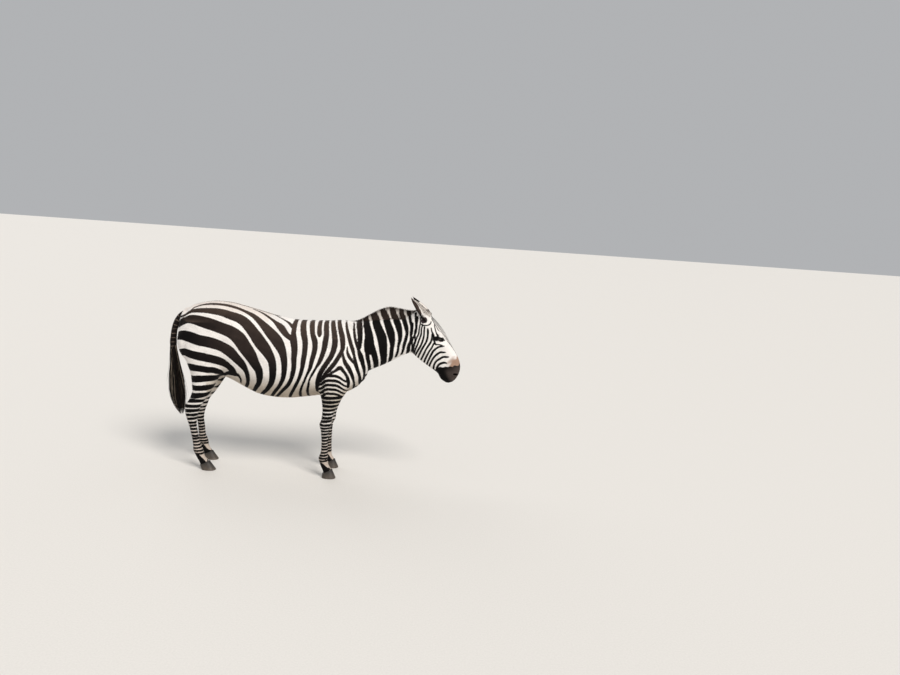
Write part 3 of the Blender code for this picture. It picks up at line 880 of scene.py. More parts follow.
@dataclass(frozen=True)
class Grain:
    """The fine unevenness that every finish shares: a mottle in its colour and a relief."""
    low: float              # the mottle's darkest and lightest factor
    high: float
    relief: float
    depth: float            # height of the relief, in metres

    def join(self, tree: Tree, colour: object, mottle: Socket,
             height: Socket) -> None:
        """Multiply a colour by the mottle, raise the relief, and lead both into the shader.

        Args:
            tree: the material's nodes.
            colour: a colour, or the socket that gives it.
            mottle: the socket that varies the colour.
            height: the socket that gives the relief.
        """
        shader = tree.nodes["Principled BSDF"]
        tone = add_node(tree, "ShaderNodeMapRange", {"To Min": self.low, "To Max": self.high},
                        {"Value": mottle})
        mix, links = {"data_type": "RGBA", "blend_type": "MULTIPLY", 0: 1.0}, {7: tone.outputs["Result"]}
        (mix if isinstance(colour, tuple) else links)[6] = colour
        toned = add_node(tree, "ShaderNodeMix", mix, links)
        bump = add_node(tree, "ShaderNodeBump", {"Strength": self.relief, "Distance": self.depth},
                        {"Height": height})
        tree.links.new(toned.outputs[2], shader.inputs["Base Color"])
        tree.links.new(bump.outputs["Normal"], shader.inputs["Normal"])


@dataclass(frozen=True)
class HideFinish:
    """Short zebra hair: matt, with a faint sheen, black bands whose edges are broken by hairs."""
    name: str
    roughness: float = 0.70
    sheen: float = 0.02
    gloss: float = 0.10
    fringe: float = 0.0024          # how far the hairs carry a band's edge, in metres
    soft_edge: float = 0.0008       # half of a band edge's blur, in metres
    hair_width: float = 0.0014      # spacing of the relief, drawn coarser than real hairs of 0.1 mm
    relief: float = 0.22

    def material(self) -> Material:
        """Build the nodes: a step through the ink distance, broken by noise, between two colours.

        Returns:
            The material.
        """
        material, tree, shader = start_material(self.name)
        place = add_node(tree, "ShaderNodeTexCoord").outputs["Object"]
        ink, pale, dark = (add_node(tree, "ShaderNodeAttribute", {"attribute_name": name})
                           for name in ("ink", "pale", "dark"))
        broken, mottle, hairs = (
            add_node(tree, "ShaderNodeTexNoise", {"Scale": 1.0 / (times * self.hair_width), "Detail": detail},
                     {"Vector": place}).outputs["Fac"]
            for times, detail in ((3.0, 2.0), (2.0, 3.0), (1.0, 2.0)))
        wander = add_node(tree, "ShaderNodeMath", {"operation": "MULTIPLY_ADD", 1: 2.0 * self.fringe,
                                                   2: -self.fringe}, {0: broken})
        edge = add_node(tree, "ShaderNodeMath", {"operation": "ADD"},
                        {0: ink.outputs["Fac"], 1: wander.outputs[0]})
        step = add_node(tree, "ShaderNodeMapRange", {"From Min": -self.soft_edge, "From Max": self.soft_edge},
                        {"Value": edge.outputs[0]})
        colour = add_node(tree, "ShaderNodeMix", {"data_type": "RGBA"},
                          {0: step.outputs["Result"], 6: pale.outputs["Color"], 7: dark.outputs["Color"]})
        Grain(0.86, 1.10, self.relief, self.hair_width).join(tree, colour.outputs[2], mottle, hairs)
        adjust(shader, {"Roughness": self.roughness, "Specular IOR Level": self.gloss,
                        "Sheen Weight": self.sheen})
        return material


@dataclass(frozen=True)
class HornFinish:
    """Hoof horn: dark, half matt keratin with fine upright fibres, dusty near the ground."""
    name: str = "hoof_horn"
    horn: str = "#2a2623"
    dust: str = "#75685b"
    roughness: float = 0.55

    def material(self) -> Material:
        """Build the nodes: fine fibres, and dust that thins upwards.

        Returns:
            The material.
        """
        material, tree, shader = start_material(self.name)
        place = add_node(tree, "ShaderNodeTexCoord").outputs["Object"]
        height = add_node(tree, "ShaderNodeSeparateXYZ", {}, {0: place}).outputs["Z"]
        fibres = add_node(tree, "ShaderNodeMapping", {"Scale": (1.0, 1.0, 0.06)}, {"Vector": place})
        grain = add_node(tree, "ShaderNodeTexNoise", {"Scale": 500.0, "Detail": 3.0},
                         {"Vector": fibres.outputs[0]})
        cloud = add_node(tree, "ShaderNodeTexNoise", {"Scale": 45.0, "Detail": 4.0}, {"Vector": place})
        low = add_node(tree, "ShaderNodeMapRange", {"From Min": 0.060, "From Max": 0.0, "To Max": 0.9},
                       {"Value": height})
        share = add_node(tree, "ShaderNodeMath", {"operation": "MULTIPLY"},
                         {0: low.outputs["Result"], 1: cloud.outputs["Fac"]})
        colour = add_node(tree, "ShaderNodeMix", {"data_type": "RGBA", 6: (*linear(self.horn), 1.0),
                                                  7: (*linear(self.dust), 1.0)}, {0: share.outputs[0]})
        Grain(0.75, 1.2, 0.3, 0.001).join(tree, colour.outputs[2], grain.outputs["Fac"], grain.outputs["Fac"])
        adjust(shader, {"Roughness": self.roughness})
        return material


@dataclass(frozen=True)
class EyeFinish:
    """The eye: a wet clear cornea over a dark brown iris with a long level pupil."""
    name: str = "eye_cornea"
    iris: str = "#23120a"
    rim: str = "#0c0806"

    def material(self) -> Material:
        """Build the nodes: the ring attribute runs from the pupil's edge at 0 to the iris's at 1.

        Returns:
            The material.
        """
        material, tree, shader = start_material(self.name)
        ring = add_node(tree, "ShaderNodeAttribute", {"attribute_name": "ring"}).outputs["Fac"]
        ramp = add_node(tree, "ShaderNodeValToRGB", {}, {"Fac": ring})
        stops = ramp.color_ramp.elements
        stops[0].position, stops[0].color = 0.28, (0.0015, 0.0012, 0.001, 1.0)
        stops[1].position, stops[1].color = 0.42, (*linear(self.iris), 1.0)
        stops.new(0.95).color = (*linear(self.rim), 1.0)
        tree.links.new(ramp.outputs["Color"], shader.inputs["Base Color"])
        adjust(shader, {"Roughness": 0.15, "Specular IOR Level": 0.30, "IOR": 1.376, "Coat Weight": 0.9,
                        "Coat Roughness": 0.02})
        return material


@dataclass(frozen=True)
class PlainFinish:
    """A surface of one colour with a fine mottle, such as bare lid skin or the studio floor."""
    name: str
    colour: str
    roughness: float
    grain: float = 0.002
    relief: float = 0.1
    gloss: float = 0.5

    def material(self) -> Material:
        """Build the nodes.

        Returns:
            The material.
        """
        material, tree, shader = start_material(self.name)
        place = add_node(tree, "ShaderNodeTexCoord").outputs["Object"]
        noise = add_node(tree, "ShaderNodeTexNoise", {"Scale": 1.0 / self.grain}, {"Vector": place})
        Grain(0.93, 1.07, self.relief, self.grain).join(tree, (*linear(self.colour), 1.0),
                                                        noise.outputs["Fac"], noise.outputs["Fac"])
        adjust(shader, {"Roughness": self.roughness, "Specular IOR Level": self.gloss})
        return material


# ---------------------------------------------------------------- markings

# The black bands of the body as seen from its side, front to back along each band's run:
# x, z and half width. Both sides carry them, the left a little displaced.
BODY_BANDS = (
    # along the spine of the croup and forward into the saddle
    ((-980, 1270, 3), (-880, 1312, 8), (-750, 1326, 11), (-620, 1309, 11), (-550, 1288, 10),
     (-470, 1256, 16), (-400, 1210, 23), (-330, 1153, 34), (-250, 1075, 39), (-207, 1000, 27),
     (-188, 900, 20), (-198, 800, 15), (-225, 740, 13), (-262, 690, 13), (-310, 625, 12)),
    ((-500, 1300, 4), (-420, 1277, 9), (-350, 1246, 10), (-300, 1220, 13), (-250, 1188, 25),
     (-200, 1140, 20), (-155, 1108, 14)),
    ((-370, 1272, 3), (-300, 1254, 6), (-240, 1235, 7), (-190, 1214, 10), (-155, 1185, 10)),
    # haunch, sweeping down through the flank
    ((-1060, 1205, 6), (-1020, 1238, 9), (-950, 1262, 12), (-850, 1276, 16), (-750, 1277, 23),
     (-650, 1262, 27),
     (-550, 1224, 31), (-450, 1140, 37), (-380, 1062, 43), (-326, 1000, 37), (-289, 940, 29),
     (-275, 850, 25), (-285, 770, 20), (-326, 700, 16), (-375, 650, 14), (-415, 610, 12)),
    ((-1075, 1130, 18), (-1030, 1177, 25), (-970, 1199, 28), (-900, 1202, 32), (-800, 1187, 37),
     (-700, 1160, 36), (-600, 1122, 40), (-550, 1083, 45), (-500, 1021, 47), (-455, 965, 44),
     (-415, 900, 34), (-385, 850, 29), (-380, 800, 24), (-389, 750, 18), (-421, 700, 15),
     (-457, 655, 12), (-490, 635, 8)),
    ((-1085, 1035, 18), (-1030, 1072, 27), (-950, 1075, 33), (-850, 1054, 34), (-750, 1037, 34),
     (-680, 1015, 32), (-620, 980, 35), (-570, 935, 30), (-520, 885, 27), (-490, 840, 18),
     (-479, 790, 16), (-484, 740, 13), (-505, 700, 12), (-535, 670, 9)),
    ((-1070, 915, 9), (-1030, 934, 17), (-980, 948, 22), (-900, 937, 25), (-820, 924, 26), (-740, 910, 25),
     (-680, 888, 27), (-635, 860, 25), (-605, 825, 27), (-600, 800, 25)),
    ((-610, 800, 20), (-660, 790, 12), (-700, 765, 7)),
    ((-600, 800, 20), (-560, 790, 11), (-545, 755, 8), (-555, 720, 5)),
    ((-1020, 812, 9), (-965, 825, 18), (-930, 833, 23), (-870, 833, 19), (-800, 826, 18), (-730, 817, 16),
     (-702, 795, 13), (-702, 765, 8)),
    # trunk
    ((-155, 1260, 15), (-147, 1200, 15), (-143, 1150, 17), (-135, 1100, 24), (-122, 1050, 22),
     (-118, 950, 18), (-116, 900, 16), (-122, 850, 15), (-135, 800, 13), (-160, 750, 14),
     (-203, 700, 13), (-247, 650, 12), (-275, 620, 11)),
    ((-95, 1260, 17), (-79, 1200, 20), (-64, 1150, 21), (-47, 1100, 19), (-41, 1030, 17),
     (-47, 950, 16), (-52, 900, 13), (-62, 850, 12), (-78, 800, 11), (-101, 750, 12),
     (-127, 700, 12), (-155, 650, 12), (-170, 620, 10)),
    ((-28, 1260, 15), (-10, 1200, 17), (5, 1150, 16), (27, 1100, 19), (33, 1050, 17),
     (27, 1000, 16), (16, 950, 14), (7, 900, 12), (-12, 850, 8), (-32, 800, 8),
     (-52, 750, 8), (-70, 700, 10), (-80, 655, 11), (-85, 625, 10)),
    ((38, 1260, 12), (47, 1200, 14), (56, 1150, 12), (57, 1135, 5)),
    ((86, 1260, 13), (100, 1200, 17), (110, 1150, 17), (107, 1100, 19), (103, 1050, 17),
     (92, 1000, 15), (75, 950, 13), (51, 900, 8), (26, 850, 8), (3, 800, 6),
     (-7, 750, 9), (-18, 700, 10), (-20, 665, 10), (-20, 640, 9)),
    # shoulder
    ((135, 1260, 12), (157, 1200, 16), (173, 1150, 18), (182, 1100, 19), (178, 1050, 18),
     (163, 1000, 16), (136, 950, 16), (104, 895, 16), (82, 850, 16), (68, 800, 16),
     (60, 745, 14), (58, 700, 11)),
    ((185, 1260, 12), (210, 1200, 15), (230, 1150, 17), (243, 1100, 16), (243, 1050, 13),
     (222, 1000, 13), (198, 955, 13), (160, 900, 13), (125, 855, 11), (95, 815, 9)),
    ((243, 1040, 8), (254, 1000, 8), (270, 955, 12), (300, 910, 13), (323, 865, 11),
     (338, 810, 9), (335, 755, 9), (320, 700, 7)),
    ((85, 790, 8), (121, 828, 8), (163, 862, 8), (205, 889, 9), (235, 910, 13),
     (262, 885, 10), (288, 850, 9), (303, 800, 11), (302, 755, 10)),
    # neck, from the withers to the throat
    ((241, 1260, 6), (262, 1200, 9), (282, 1150, 11), (300, 1100, 12), (319, 1050, 11),
     (335, 1000, 8), (345, 955, 12), (364, 900, 11), (377, 850, 9), (380, 800, 11),
     (372, 750, 9), (350, 700, 7)),
    ((279, 1072, 4), (281, 1040, 7), (297, 1000, 10), (322, 965, 8), (342, 945, 7)),
    ((291, 1262, 4), (304, 1245, 5), (315, 1200, 7), (327, 1150, 8), (343, 1100, 8),
     (362, 1055, 8), (383, 1000, 14), (399, 950, 12), (413, 900, 11), (414, 850, 10),
     (405, 800, 10), (385, 745, 8)),
    ((335, 1275, 14), (346, 1250, 17), (360, 1200, 16), (368, 1150, 13), (371, 1100, 11),
     (370, 1060, 8)),
    ((385, 1300, 14), (405, 1250, 18), (424, 1200, 22), (437, 1150, 27), (441, 1100, 33),
     (446, 1050, 32)),
    ((434, 1050, 14), (434, 1000, 11), (444, 950, 10), (448, 900, 9), (438, 860, 9),
     (428, 830, 8)),
    ((460, 1100, 14), (474, 1050, 18), (490, 1000, 16), (499, 950, 15), (494, 900, 13), (482, 870, 12)),
    ((445, 1335, 16), (465, 1300, 21), (486, 1250, 25), (513, 1200, 28), (536, 1150, 31),
     (547, 1100, 28), (553, 1050, 24), (557, 1000, 20), (556, 950, 18), (545, 920, 14)),
    ((522, 1360, 16), (545, 1310, 20), (577, 1250, 22), (599, 1200, 26), (614, 1150, 21),
     (620, 1100, 14), (617, 1050, 12), (613, 1000, 13), (600, 955, 10)),
    ((597, 1370, 16), (625, 1310, 21), (657, 1250, 23), (673, 1200, 18), (677, 1150, 13),
     (669, 1100, 9), (664, 1050, 9), (650, 1000, 9)),
    ((668, 1370, 14), (690, 1310, 17), (718, 1250, 16), (728, 1200, 12), (722, 1150, 12),
     (711, 1100, 11), (703, 1050, 9), (690, 1020, 7)),
    ((730, 1370, 12), (745, 1310, 13), (762, 1250, 12), (760, 1200, 9), (764, 1150, 11),
     (749, 1100, 13), (743, 1050, 13), (735, 1030, 9)),
    ((785, 1360, 10), (792, 1300, 9), (797, 1250, 8), (790, 1200, 8), (796, 1150, 6),
     (786, 1100, 8), (772, 1050, 8)),
)
# The face's bands: places along the head and above its axis, and half widths.
FACE_BANDS = (
    # cheek, from the throat to the mouth
    ((34, -89, 8), (72, -113, 8), (105, -136, 7)),
    ((7, -31, 7), (25, -42, 8), (49, -59, 7), (80, -79, 7), (108, -102, 7),
     (129, -133, 7), (153, -159, 7), (191, -182, 7), (225, -210, 6)),
    ((20, -6, 5), (37, -19, 6), (62, -36, 6), (90, -60, 6), (124, -84, 7),
     (148, -116, 7), (174, -145, 7), (197, -169, 7), (240, -208, 6)),
    ((83, -28, 6), (101, -45, 6), (141, -72, 7), (166, -101, 7), (196, -136, 7),
     (218, -166, 7), (252, -205, 6)),
    ((100, -18, 6), (116, -29, 7), (159, -56, 7), (187, -82, 8), (214, -115, 8),
     (237, -154, 8), (268, -205, 7)),
    ((128, -4, 7), (142, -10, 9), (173, -29, 8), (204, -56, 8), (232, -101, 8),
     (259, -145, 8), (296, -200, 7)),
    ((180, 6, 6), (195, -2, 7), (223, -25, 8), (243, -61, 8), (259, -91, 7),
     (286, -130, 8), (325, -190, 7)),
    ((250, -18, 7), (275, -55, 7), (287, -80, 7), (305, -109, 8), (337, -155, 8),
     (360, -182, 7)),
    ((308, 42, 4), (303, 33, 6), (293, 4, 8), (293, -20, 8), (300, -49, 9),
     (319, -82, 9), (344, -119, 8), (382, -170, 8)),
    ((357, 26, 4), (351, 15, 7), (337, -8, 9), (339, -44, 9), (350, -79, 8),
     (369, -112, 8), (400, -155, 8)),
    ((402, 27, 5), (396, 16, 8), (382, -7, 9), (381, -41, 9), (384, -71, 8),
     (400, -102, 8), (432, -131, 9)),
    ((436, -13, 7), (426, -24, 9), (420, -43, 10), (420, -71, 9), (437, -102, 9)),
    # round the eye and up to the ear
    ((214, 8, 10), (228, 24, 21), (240, 38, 26), (251, 49, 21), (261, 59, 10),
     (270, 68, 5)),
    ((134, 23, 5), (163, 15, 6), (187, 14, 8), (203, 8, 9), (225, 0, 9),
     (245, -6, 8), (262, -8, 7), (271, 6, 5), (281, 19, 5), (296, 34, 4)),
    ((125, 54, 4), (153, 47, 5), (193, 40, 6), (216, 40, 9)),
    ((70, -32, 5), (86, -19, 6), (97, -1, 5), (103, 16, 5), (100, 34, 5),
     (88, 46, 4)),
)
EAR_SPOT = (0.056, 0.004)   # the dark patch at the ear's foot
SHOULDER_ARCHES = (844, 806, 770, 735, 700)     # heights of their crowns
# Bars round the limbs: a height in metres and their spacing there.
HIND_BARS = ((0.760, 0.070), (0.680, 0.060), (0.600, 0.056), (0.560, 0.044), (0.500, 0.037),
             (0.440, 0.032), (0.380, 0.028), (0.300, 0.025), (0.200, 0.023), (0.10, 0.022))
FORE_BARS = ((0.700, 0.035), (0.600, 0.033), (0.500, 0.031), (0.450, 0.028), (0.400, 0.026),
             (0.300, 0.024), (0.200, 0.023), (0.10, 0.022))
FORE_TOP, HIND_TOP = 0.662, 0.746       # the highest bar of a limb
TRUNK_REACH, HEAD_REACH = 0.27, 0.13    # how far the skin can lie from the middle
PASTERN_TOP = 0.128         # black from here down to the hoof
MUZZLE_EDGE = ((-0.130, 0.444), (-0.102, 0.436), (-0.085, 0.440), (-0.049, 0.456), (-0.027, 0.468),
               (0.000, 0.480), (0.027, 0.490), (0.051, 0.500), (0.090, 0.505))


def lay(form: Form, start: Array, way: Array, reach: float) -> Array:
    """Carry points from inside the body out to its skin along a direction.

    The field is read at even steps; the last step that is inside, and the next, give the place by
    proportion. A point with no flesh beyond it stays where it is.

    Args:
        form: the body.
        start: places inside it.
        way: the direction of each.
        reach: how far to look, as a share of the direction.

    Returns:
        The places on the skin.
    """
    steps = np.linspace(0.0, reach, 45)
    way = np.broadcast_to(way, start.shape)
    spots = start[:, None, :] + steps[None, :, None] * way[:, None, :]
    field = form.distance(spots.reshape(-1, 3)).reshape(len(start), -1)
    inside = field < 0.0
    last = np.where(inside.any(axis=1), field.shape[1] - 1 - np.argmax(inside[:, ::-1], axis=1), 0)
    last = np.minimum(last, field.shape[1] - 2)
    row = np.arange(len(start))
    before, after = field[row, last], field[row, last + 1]
    share = np.clip(before / np.where(before == after, 1.0, before - after), 0.0, 1.0)
    travel = steps[last] + share * (steps[1] - steps[0])
    return start + np.where(inside.any(axis=1), travel, 0.0)[:, None] * way


@dataclass
class Ink:
    """Black bands as rows of round touches on the skin."""
    form: Form
    marks: list[Array] = dataclasses.field(default_factory=list)
    halves: list[Array] = dataclasses.field(default_factory=list)

    def run(self, band: tuple, spacing: float = 0.005) -> Array:
        """Read a band's points along a smooth curve at even spacing; its width stays in millimetres.

        Args:
            band: the band's points in millimetres.
            spacing: distance between the rows, in metres.

        Returns:
            Rows of place, height and half width.
        """
        table = np.array(band, dtype=float) / (1000.0, 1000.0, 1.0)
        travel = travelled(table)
        return along_curve(table, travel, np.arange(0.0, travel[-1], spacing))

    def touch(self, marks: Array, halves: Array) -> None:
        """Add touches at places on the skin with their half widths."""
        self.marks.append(marks)
        self.halves.append(halves)

    def side_band(self, band: tuple, side: int) -> None:
        """Lay a body band on one side, from its x and z.

        Args:
            band: the band's points.
            side: 1 for the left, -1 for the right.
        """
        rows = self.run(band)
        flat = xyz(rows[:, 0], 0.0, rows[:, 1])
        spread = np.interp(rows[:, 0], (-0.60, -0.45, -0.25, 0.25, 0.42, 0.58, 0.66, 0.76),
                           (8.0, 4.5, 3.0, 4.0, 7.5, 7.0, 3.0, 0.5))
        spread *= np.minimum(rows[:, 2] / 14.0, 1.0) * (0.45 + 0.55 * smooth(0.68, 0.85, rows[:, 1]))
        half = (rows[:, 2] + spread) / 1000.0
        if side > 0:
            flat[:, 0] += 0.010 * waves(flat, 0.45, 3)
            flat[:, 2] += 0.008 * waves(flat, 0.40, 4)
        behind = np.clip((-0.95 - flat[:, 0]) / 0.125, 0.0, 0.97)
        way = xyz(-0.11 * behind, side * 0.19 * np.sqrt(1.0 - behind ** 2), 0.0)
        flat[:, 0] = np.maximum(flat[:, 0], -0.95)
        self.touch(lay(self.form, flat, unit(way), TRUNK_REACH), half)

    def breast_band(self, level: float, half: float, spread: float) -> None:
        """Lay a band across the breast that falls towards the middle.

        Args:
            level: its height in the middle.
            half: its half width.
            spread: degrees that it reaches to each side.
        """
        turn = np.radians(np.linspace(-spread, spread, 40))
        start = xyz(0.22, 0.0, level + 0.055 * np.abs(np.sin(turn)))
        spots = lay(self.form, start, xyz(np.cos(turn), np.sin(turn), 0.0), TRUNK_REACH)
        self.touch(spots, np.full(len(turn), half))

    def head_band(self, band: tuple, side: int, view: View = View.SIDE) -> None:
        """Lay a band on the head, from places along it and above its axis, or across it.

        Args:
            band: the band's points.
            side: 1 for the left, -1 for the right.
            view: whether it is laid from the side or from above.
        """
        rows = self.run(band, 0.003)
        if view is View.SIDE:
            flat, way = xyz(rows[:, 0], 0.0, rows[:, 1]), np.array((0.0, side, 0.0))
        else:
            flat, way = xyz(rows[:, 0], side * rows[:, 1], 0.0), np.array((0.0, 0.0, 1.0))
        spots = lay(self.form, HEAD_PLACE.world(flat), HEAD_PLACE.axes() @ way, HEAD_REACH)
        self.touch(spots, rows[:, 2] / 1000.0)

    def ring_bars(self, limb: Limb, periods: tuple, top: float) -> None:
        """Bars round a limb, each a ring whose height wavers, closer together towards the foot.

        Args:
            limb: the limb.
            periods: heights with the spacing there.
            top: height of the highest bar.
        """
        rng = np.random.default_rng(17 + len(self.marks))
        table = np.array(periods)[::-1]
        height = top
        turn = turns(90)
        while height > PASTERN_TOP:
            period = np.interp(height, table[:, 0], table[:, 1])
            lean = period * rng.uniform(0.06, 0.20)
            twist = period * rng.uniform(-0.10, 0.10)
            middle, y, depth, half = (float(value) for value in limb.ring(np.array(height)))
            level = height + lean * np.cos(turn) + twist * np.sin(turn)
            spots = xyz(middle + depth * np.cos(turn), y + limb.side * half * np.sin(turn), level)
            inner = smooth(0.1, 0.9, -np.sin(turn)) * smooth(0.30, 0.62, np.full(len(turn), height))
            wide = period * (0.39 + 0.03 * waves(spots, 0.09, 21) - 0.02 * (height < 0.3))
            self.touch(self.form.settle(spots, 2), wide * (1.0 - 0.85 * inner))
            height -= period * rng.uniform(0.96, 1.04)

    def distance(self, where: Array, reach: float = 0.05) -> Array:
        """How deep points lie in the black, negative outside: the largest half width less distance.

        The points are taken cell by cell, each with the touches near it.

        Args:
            where: the places.
            reach: the furthest distance that matters.

        Returns:
            One value for each place.
        """
        marks, halves = np.concatenate(self.marks), np.concatenate(self.halves)
        result = np.full(len(where), -reach)
        cells = np.floor(where / 0.10).astype(int)
        _, owner = np.unique(cells, axis=0, return_inverse=True)
        order = np.argsort(owner.ravel(), kind="stable")
        cuts = np.cumsum(np.bincount(owner.ravel()))[:-1]
        for group in np.split(order, cuts):
            spots = where[group]
            near = np.all((marks > spots.min(axis=0) - reach) & (marks < spots.max(axis=0) + reach), axis=1)
            if not near.any():
                continue
            gap = np.linalg.norm(spots[:, None, :] - marks[None, near], axis=2)
            result[group] = np.max(halves[near] - gap, axis=1)
        return np.clip(result, -reach, reach)

    def upright(self, where: Array) -> Array:
        """The same over the crest, where the right side's bands are read straight across.

        Args:
            where: places on the crest or the mane.

        Returns:
            One value for each place.
        """
        marks, halves = np.concatenate(self.marks), np.concatenate(self.halves)
        high = (marks[:, 2] > 1.16) & (marks[:, 0] > 0.22) & (marks[:, 1] <= 0.0)
        flat = Ink(self.form)
        flat.touch(marks[high] * (1.0, 0.0, 1.0), halves[high])
        return flat.distance(where * (1.0, 0.0, 1.0))


@dataclass(frozen=True)
class Markings:
    """The coat's colours: where it is black, and the shade of its pale and dark hair."""
    form: Form
    ink: Ink
    breast_bands: int = 5
    forehead_lines: int = 5         # on each side

    def __post_init__(self) -> None:
        """Lay every band on the form."""
        for side in (-1, 1):
            for band in (*BODY_BANDS, *map(self.arch, SHOULDER_ARCHES)):
                self.ink.side_band(band, side)
            self.paint_head(side)
        for number in range(self.breast_bands):
            self.ink.breast_band(0.72 + 0.052 * number, 0.0115, 26.0 - 4.0 * number)
        for limb in self.form.limbs:
            fore = limb.end is End.FORE
            self.ink.ring_bars(limb, FORE_BARS if fore else HIND_BARS, FORE_TOP if fore else HIND_TOP)

    def arch(self, crown: float) -> tuple:
        """A bar over the upper foreleg that falls towards both edges.

        Args:
            crown: height of its highest point.

        Returns:
            The band's points.
        """
        x = np.linspace(75.0, 305.0, 10)
        z = crown - 44.0 * smooth(145.0, 75.0, x) - 46.0 * smooth(200.0, 305.0, x)
        return tuple(zip(x, z, 9.3 - 3.0 * smooth(200.0, 290.0, x)))

    def paint_head(self, side: int) -> None:
        """Bands of the face, and the forehead's long thin lines.

        Args:
            side: 1 for the left, -1 for the right.
        """
        for band in FACE_BANDS:
            self.ink.head_band(band, side)
        for number in range(self.forehead_lines):
            spread = 14.0 * (number + 0.02)
            band = ((50.0 + 6.0 * number, spread * 0.80, 3.6), (130.0, spread * 1.05, 4.2),
                    (215.0, spread * 1.08, 3.8), (290.0, spread * 0.74, 2.9),
                    (436.0 - 28.0 * number, spread * 0.50, 1.8))
            self.ink.head_band(band, side, View.TOP)

    def read(self, points: Array, normals: Array) -> tuple[Array, Array, Array]:
        """The ink distance, pale colour and dark colour at points of the skin.

        Args:
            points: the places, one in each row.
            normals: the outward directions there.

        Returns:
            The ink distance, and the pale and the dark colour.
        """
        ink = self.ink.distance(points)
        local = HEAD_PLACE.local(points)
        x, y, z = points[:, 0], np.abs(points[:, 1]), points[:, 2]
        edge = np.array(MUZZLE_EDGE)
        muzzle = local[:, 0] - np.interp(local[:, 2], edge[:, 0], edge[:, 1]) + 0.010 * waves(points, 0.04, 5)
        ear = 0.024 - from_ear(local) + 0.004 * waves(points, 0.03, 7)
        foot = PASTERN_TOP - z + 0.010 * waves(points, 0.05, 6) - 0.055 * smooth(0.0, 0.7, normals[:, 0])
        keel = 0.011 - y - 0.05 * smooth(-0.02, 0.03, np.abs(x + 0.16) - 0.24)
        spine = 0.010 - y - 0.05 * smooth(-0.02, 0.02, np.abs(x + 0.63) - 0.36)
        for where, black in ((x > 0.74, np.maximum(muzzle, ear)), (z < 0.2, foot),
                             ((normals[:, 2] < -0.6) & (z > 0.55), keel),
                             ((normals[:, 2] > 0.6) & (z > 1.1), spine)):
            ink = np.where(where, np.maximum(ink, black), ink)
        return ink, self.pale(points, normals, local), self.dark(points, normals, local)

    def pale(self, points: Array, normals: Array, local: Array) -> Array:
        """Warm white hair, beige under the belly and low on the flank (dusty hair with painted shade), dusty
        on the legs, greyer on the legs' inner faces (painted shade between them), brown above the nostrils.

        Args:
            points: the places, one in each row.
            normals: the outward directions there.
            local: the places in the head's frame.

        Returns:
            A linear colour for each point.
        """
        x, z = points[:, 0], points[:, 2]
        trunk = (x < 0.40) & (z > 0.55)
        # beige where the trunk faces down: dusty hair darkened with painted shade under the belly
        under = smooth(0.05, -0.75, normals[:, 2]) * smooth(1.0, 0.72, z) * trunk
        # beige low on the flank: dusty hair darkened with painted shade
        low = smooth(0.86, 0.64, z) * trunk * (x > -0.80)
        top = smooth(0.55, 0.95, normals[:, 2]) * (x < -0.35) * (z > 1.1)
        foot = smooth(0.62, 0.10, z)
        # greyer where the legs face each other: painted shade between the legs
        inner = smooth(0.2, 0.8, -normals[:, 1] * np.sign(points[:, 1])) * (z < 0.85)
        nose = on_nose(local, 0.412, 0.452) * (x > 0.74)
        colour = layered(PALE_HAIR, (0.50 * low, "#a8987f"), (0.55 * under, "#b09f88"),
                         (0.35 * top, "#d9c5b4"), (0.72 * foot, "#a5917f"), (0.20 * inner, "#c5b8a8"),
                         (0.88 * nose, "#9a7358"))
        return colour * (1.0 + 0.05 * waves(points, 0.07, 8))[:, None]

    def dark(self, points: Array, normals: Array, local: Array) -> Array:
        """Brown-black hair, browner on the upper trunk and the back (faded hair with a painted sheen from
        above), darkest on the legs and round the eye, grey on the muzzle (bare skin with a painted sheen),
        with painted shade in the mouth's crease.

        Args:
            points: the places, one in each row.
            normals: the outward directions there.
            local: the places in the head's frame.

        Returns:
            A linear colour for each point.
        """
        x, z = points[:, 0], points[:, 2]
        # lighter brown where the back faces up: sun-faded hair with a painted sheen of light from above
        top = smooth(0.2, 0.9, normals[:, 2]) * smooth(0.9, 1.2, z) * smooth(0.45, 0.15, x)
        leg = smooth(0.85, 0.60, z) * (np.abs(points[:, 1]) > 0.05)
        face = (x > 0.78) & (local[:, 0] > 0.05)
        # grey-brown on the front of the muzzle: grey bare skin with a painted sheen
        grey = smooth(0.46, 0.54, local[:, 0]) * smooth(-0.075, -0.030, local[:, 2]) * face
        ear = smooth(0.040, 0.022, from_ear(local)) * (x > 0.78)
        # browner on the upper trunk: brownish hair, partly a painted sheen of light from above
        trunk = smooth(0.40, 0.28, x) * smooth(-0.98, -0.55, x) * smooth(0.80, 1.05, z)
        # near-black along the mouth line: painted shade in the mouth's crease
        mouth_crease_shade = smooth(0.0060, 0.0025, to_path(folded(local), MOUTH)) * face
        colour = layered(DARK_HAIR, (0.50 * trunk, "#453934"), (0.6 * top, "#56483f"),
                         (0.7 * leg, "#060505"), (0.8 * face, "#0a0808"), (0.85 * grey, "#4f4541"),
                         (0.8 * ear, "#4d4044"), (0.9 * mouth_crease_shade, "#060404"))
        return colour * (1.0 + 0.10 * waves(points, 0.06, 9))[:, None]


def layered(base: str, *layers: tuple[Array, str]) -> Array:
    """A colour for each point: a base, with each layer's colour laid over by its share.

    Args:
        base: the colour underneath.
        layers: shares with the colour of each.

    Returns:
        A linear colour for each point.
    """
    colour = shade(base)
    for share, name in layers:
        colour = colour + share[:, None] * (shade(name) - colour)
    return colour


def from_ear(local: Array) -> Array:
    """How far points of the head lie from the middle of the dark patch at the ear's foot."""
    return np.hypot(local[:, 0] - EAR_SPOT[0], local[:, 2] - EAR_SPOT[1])


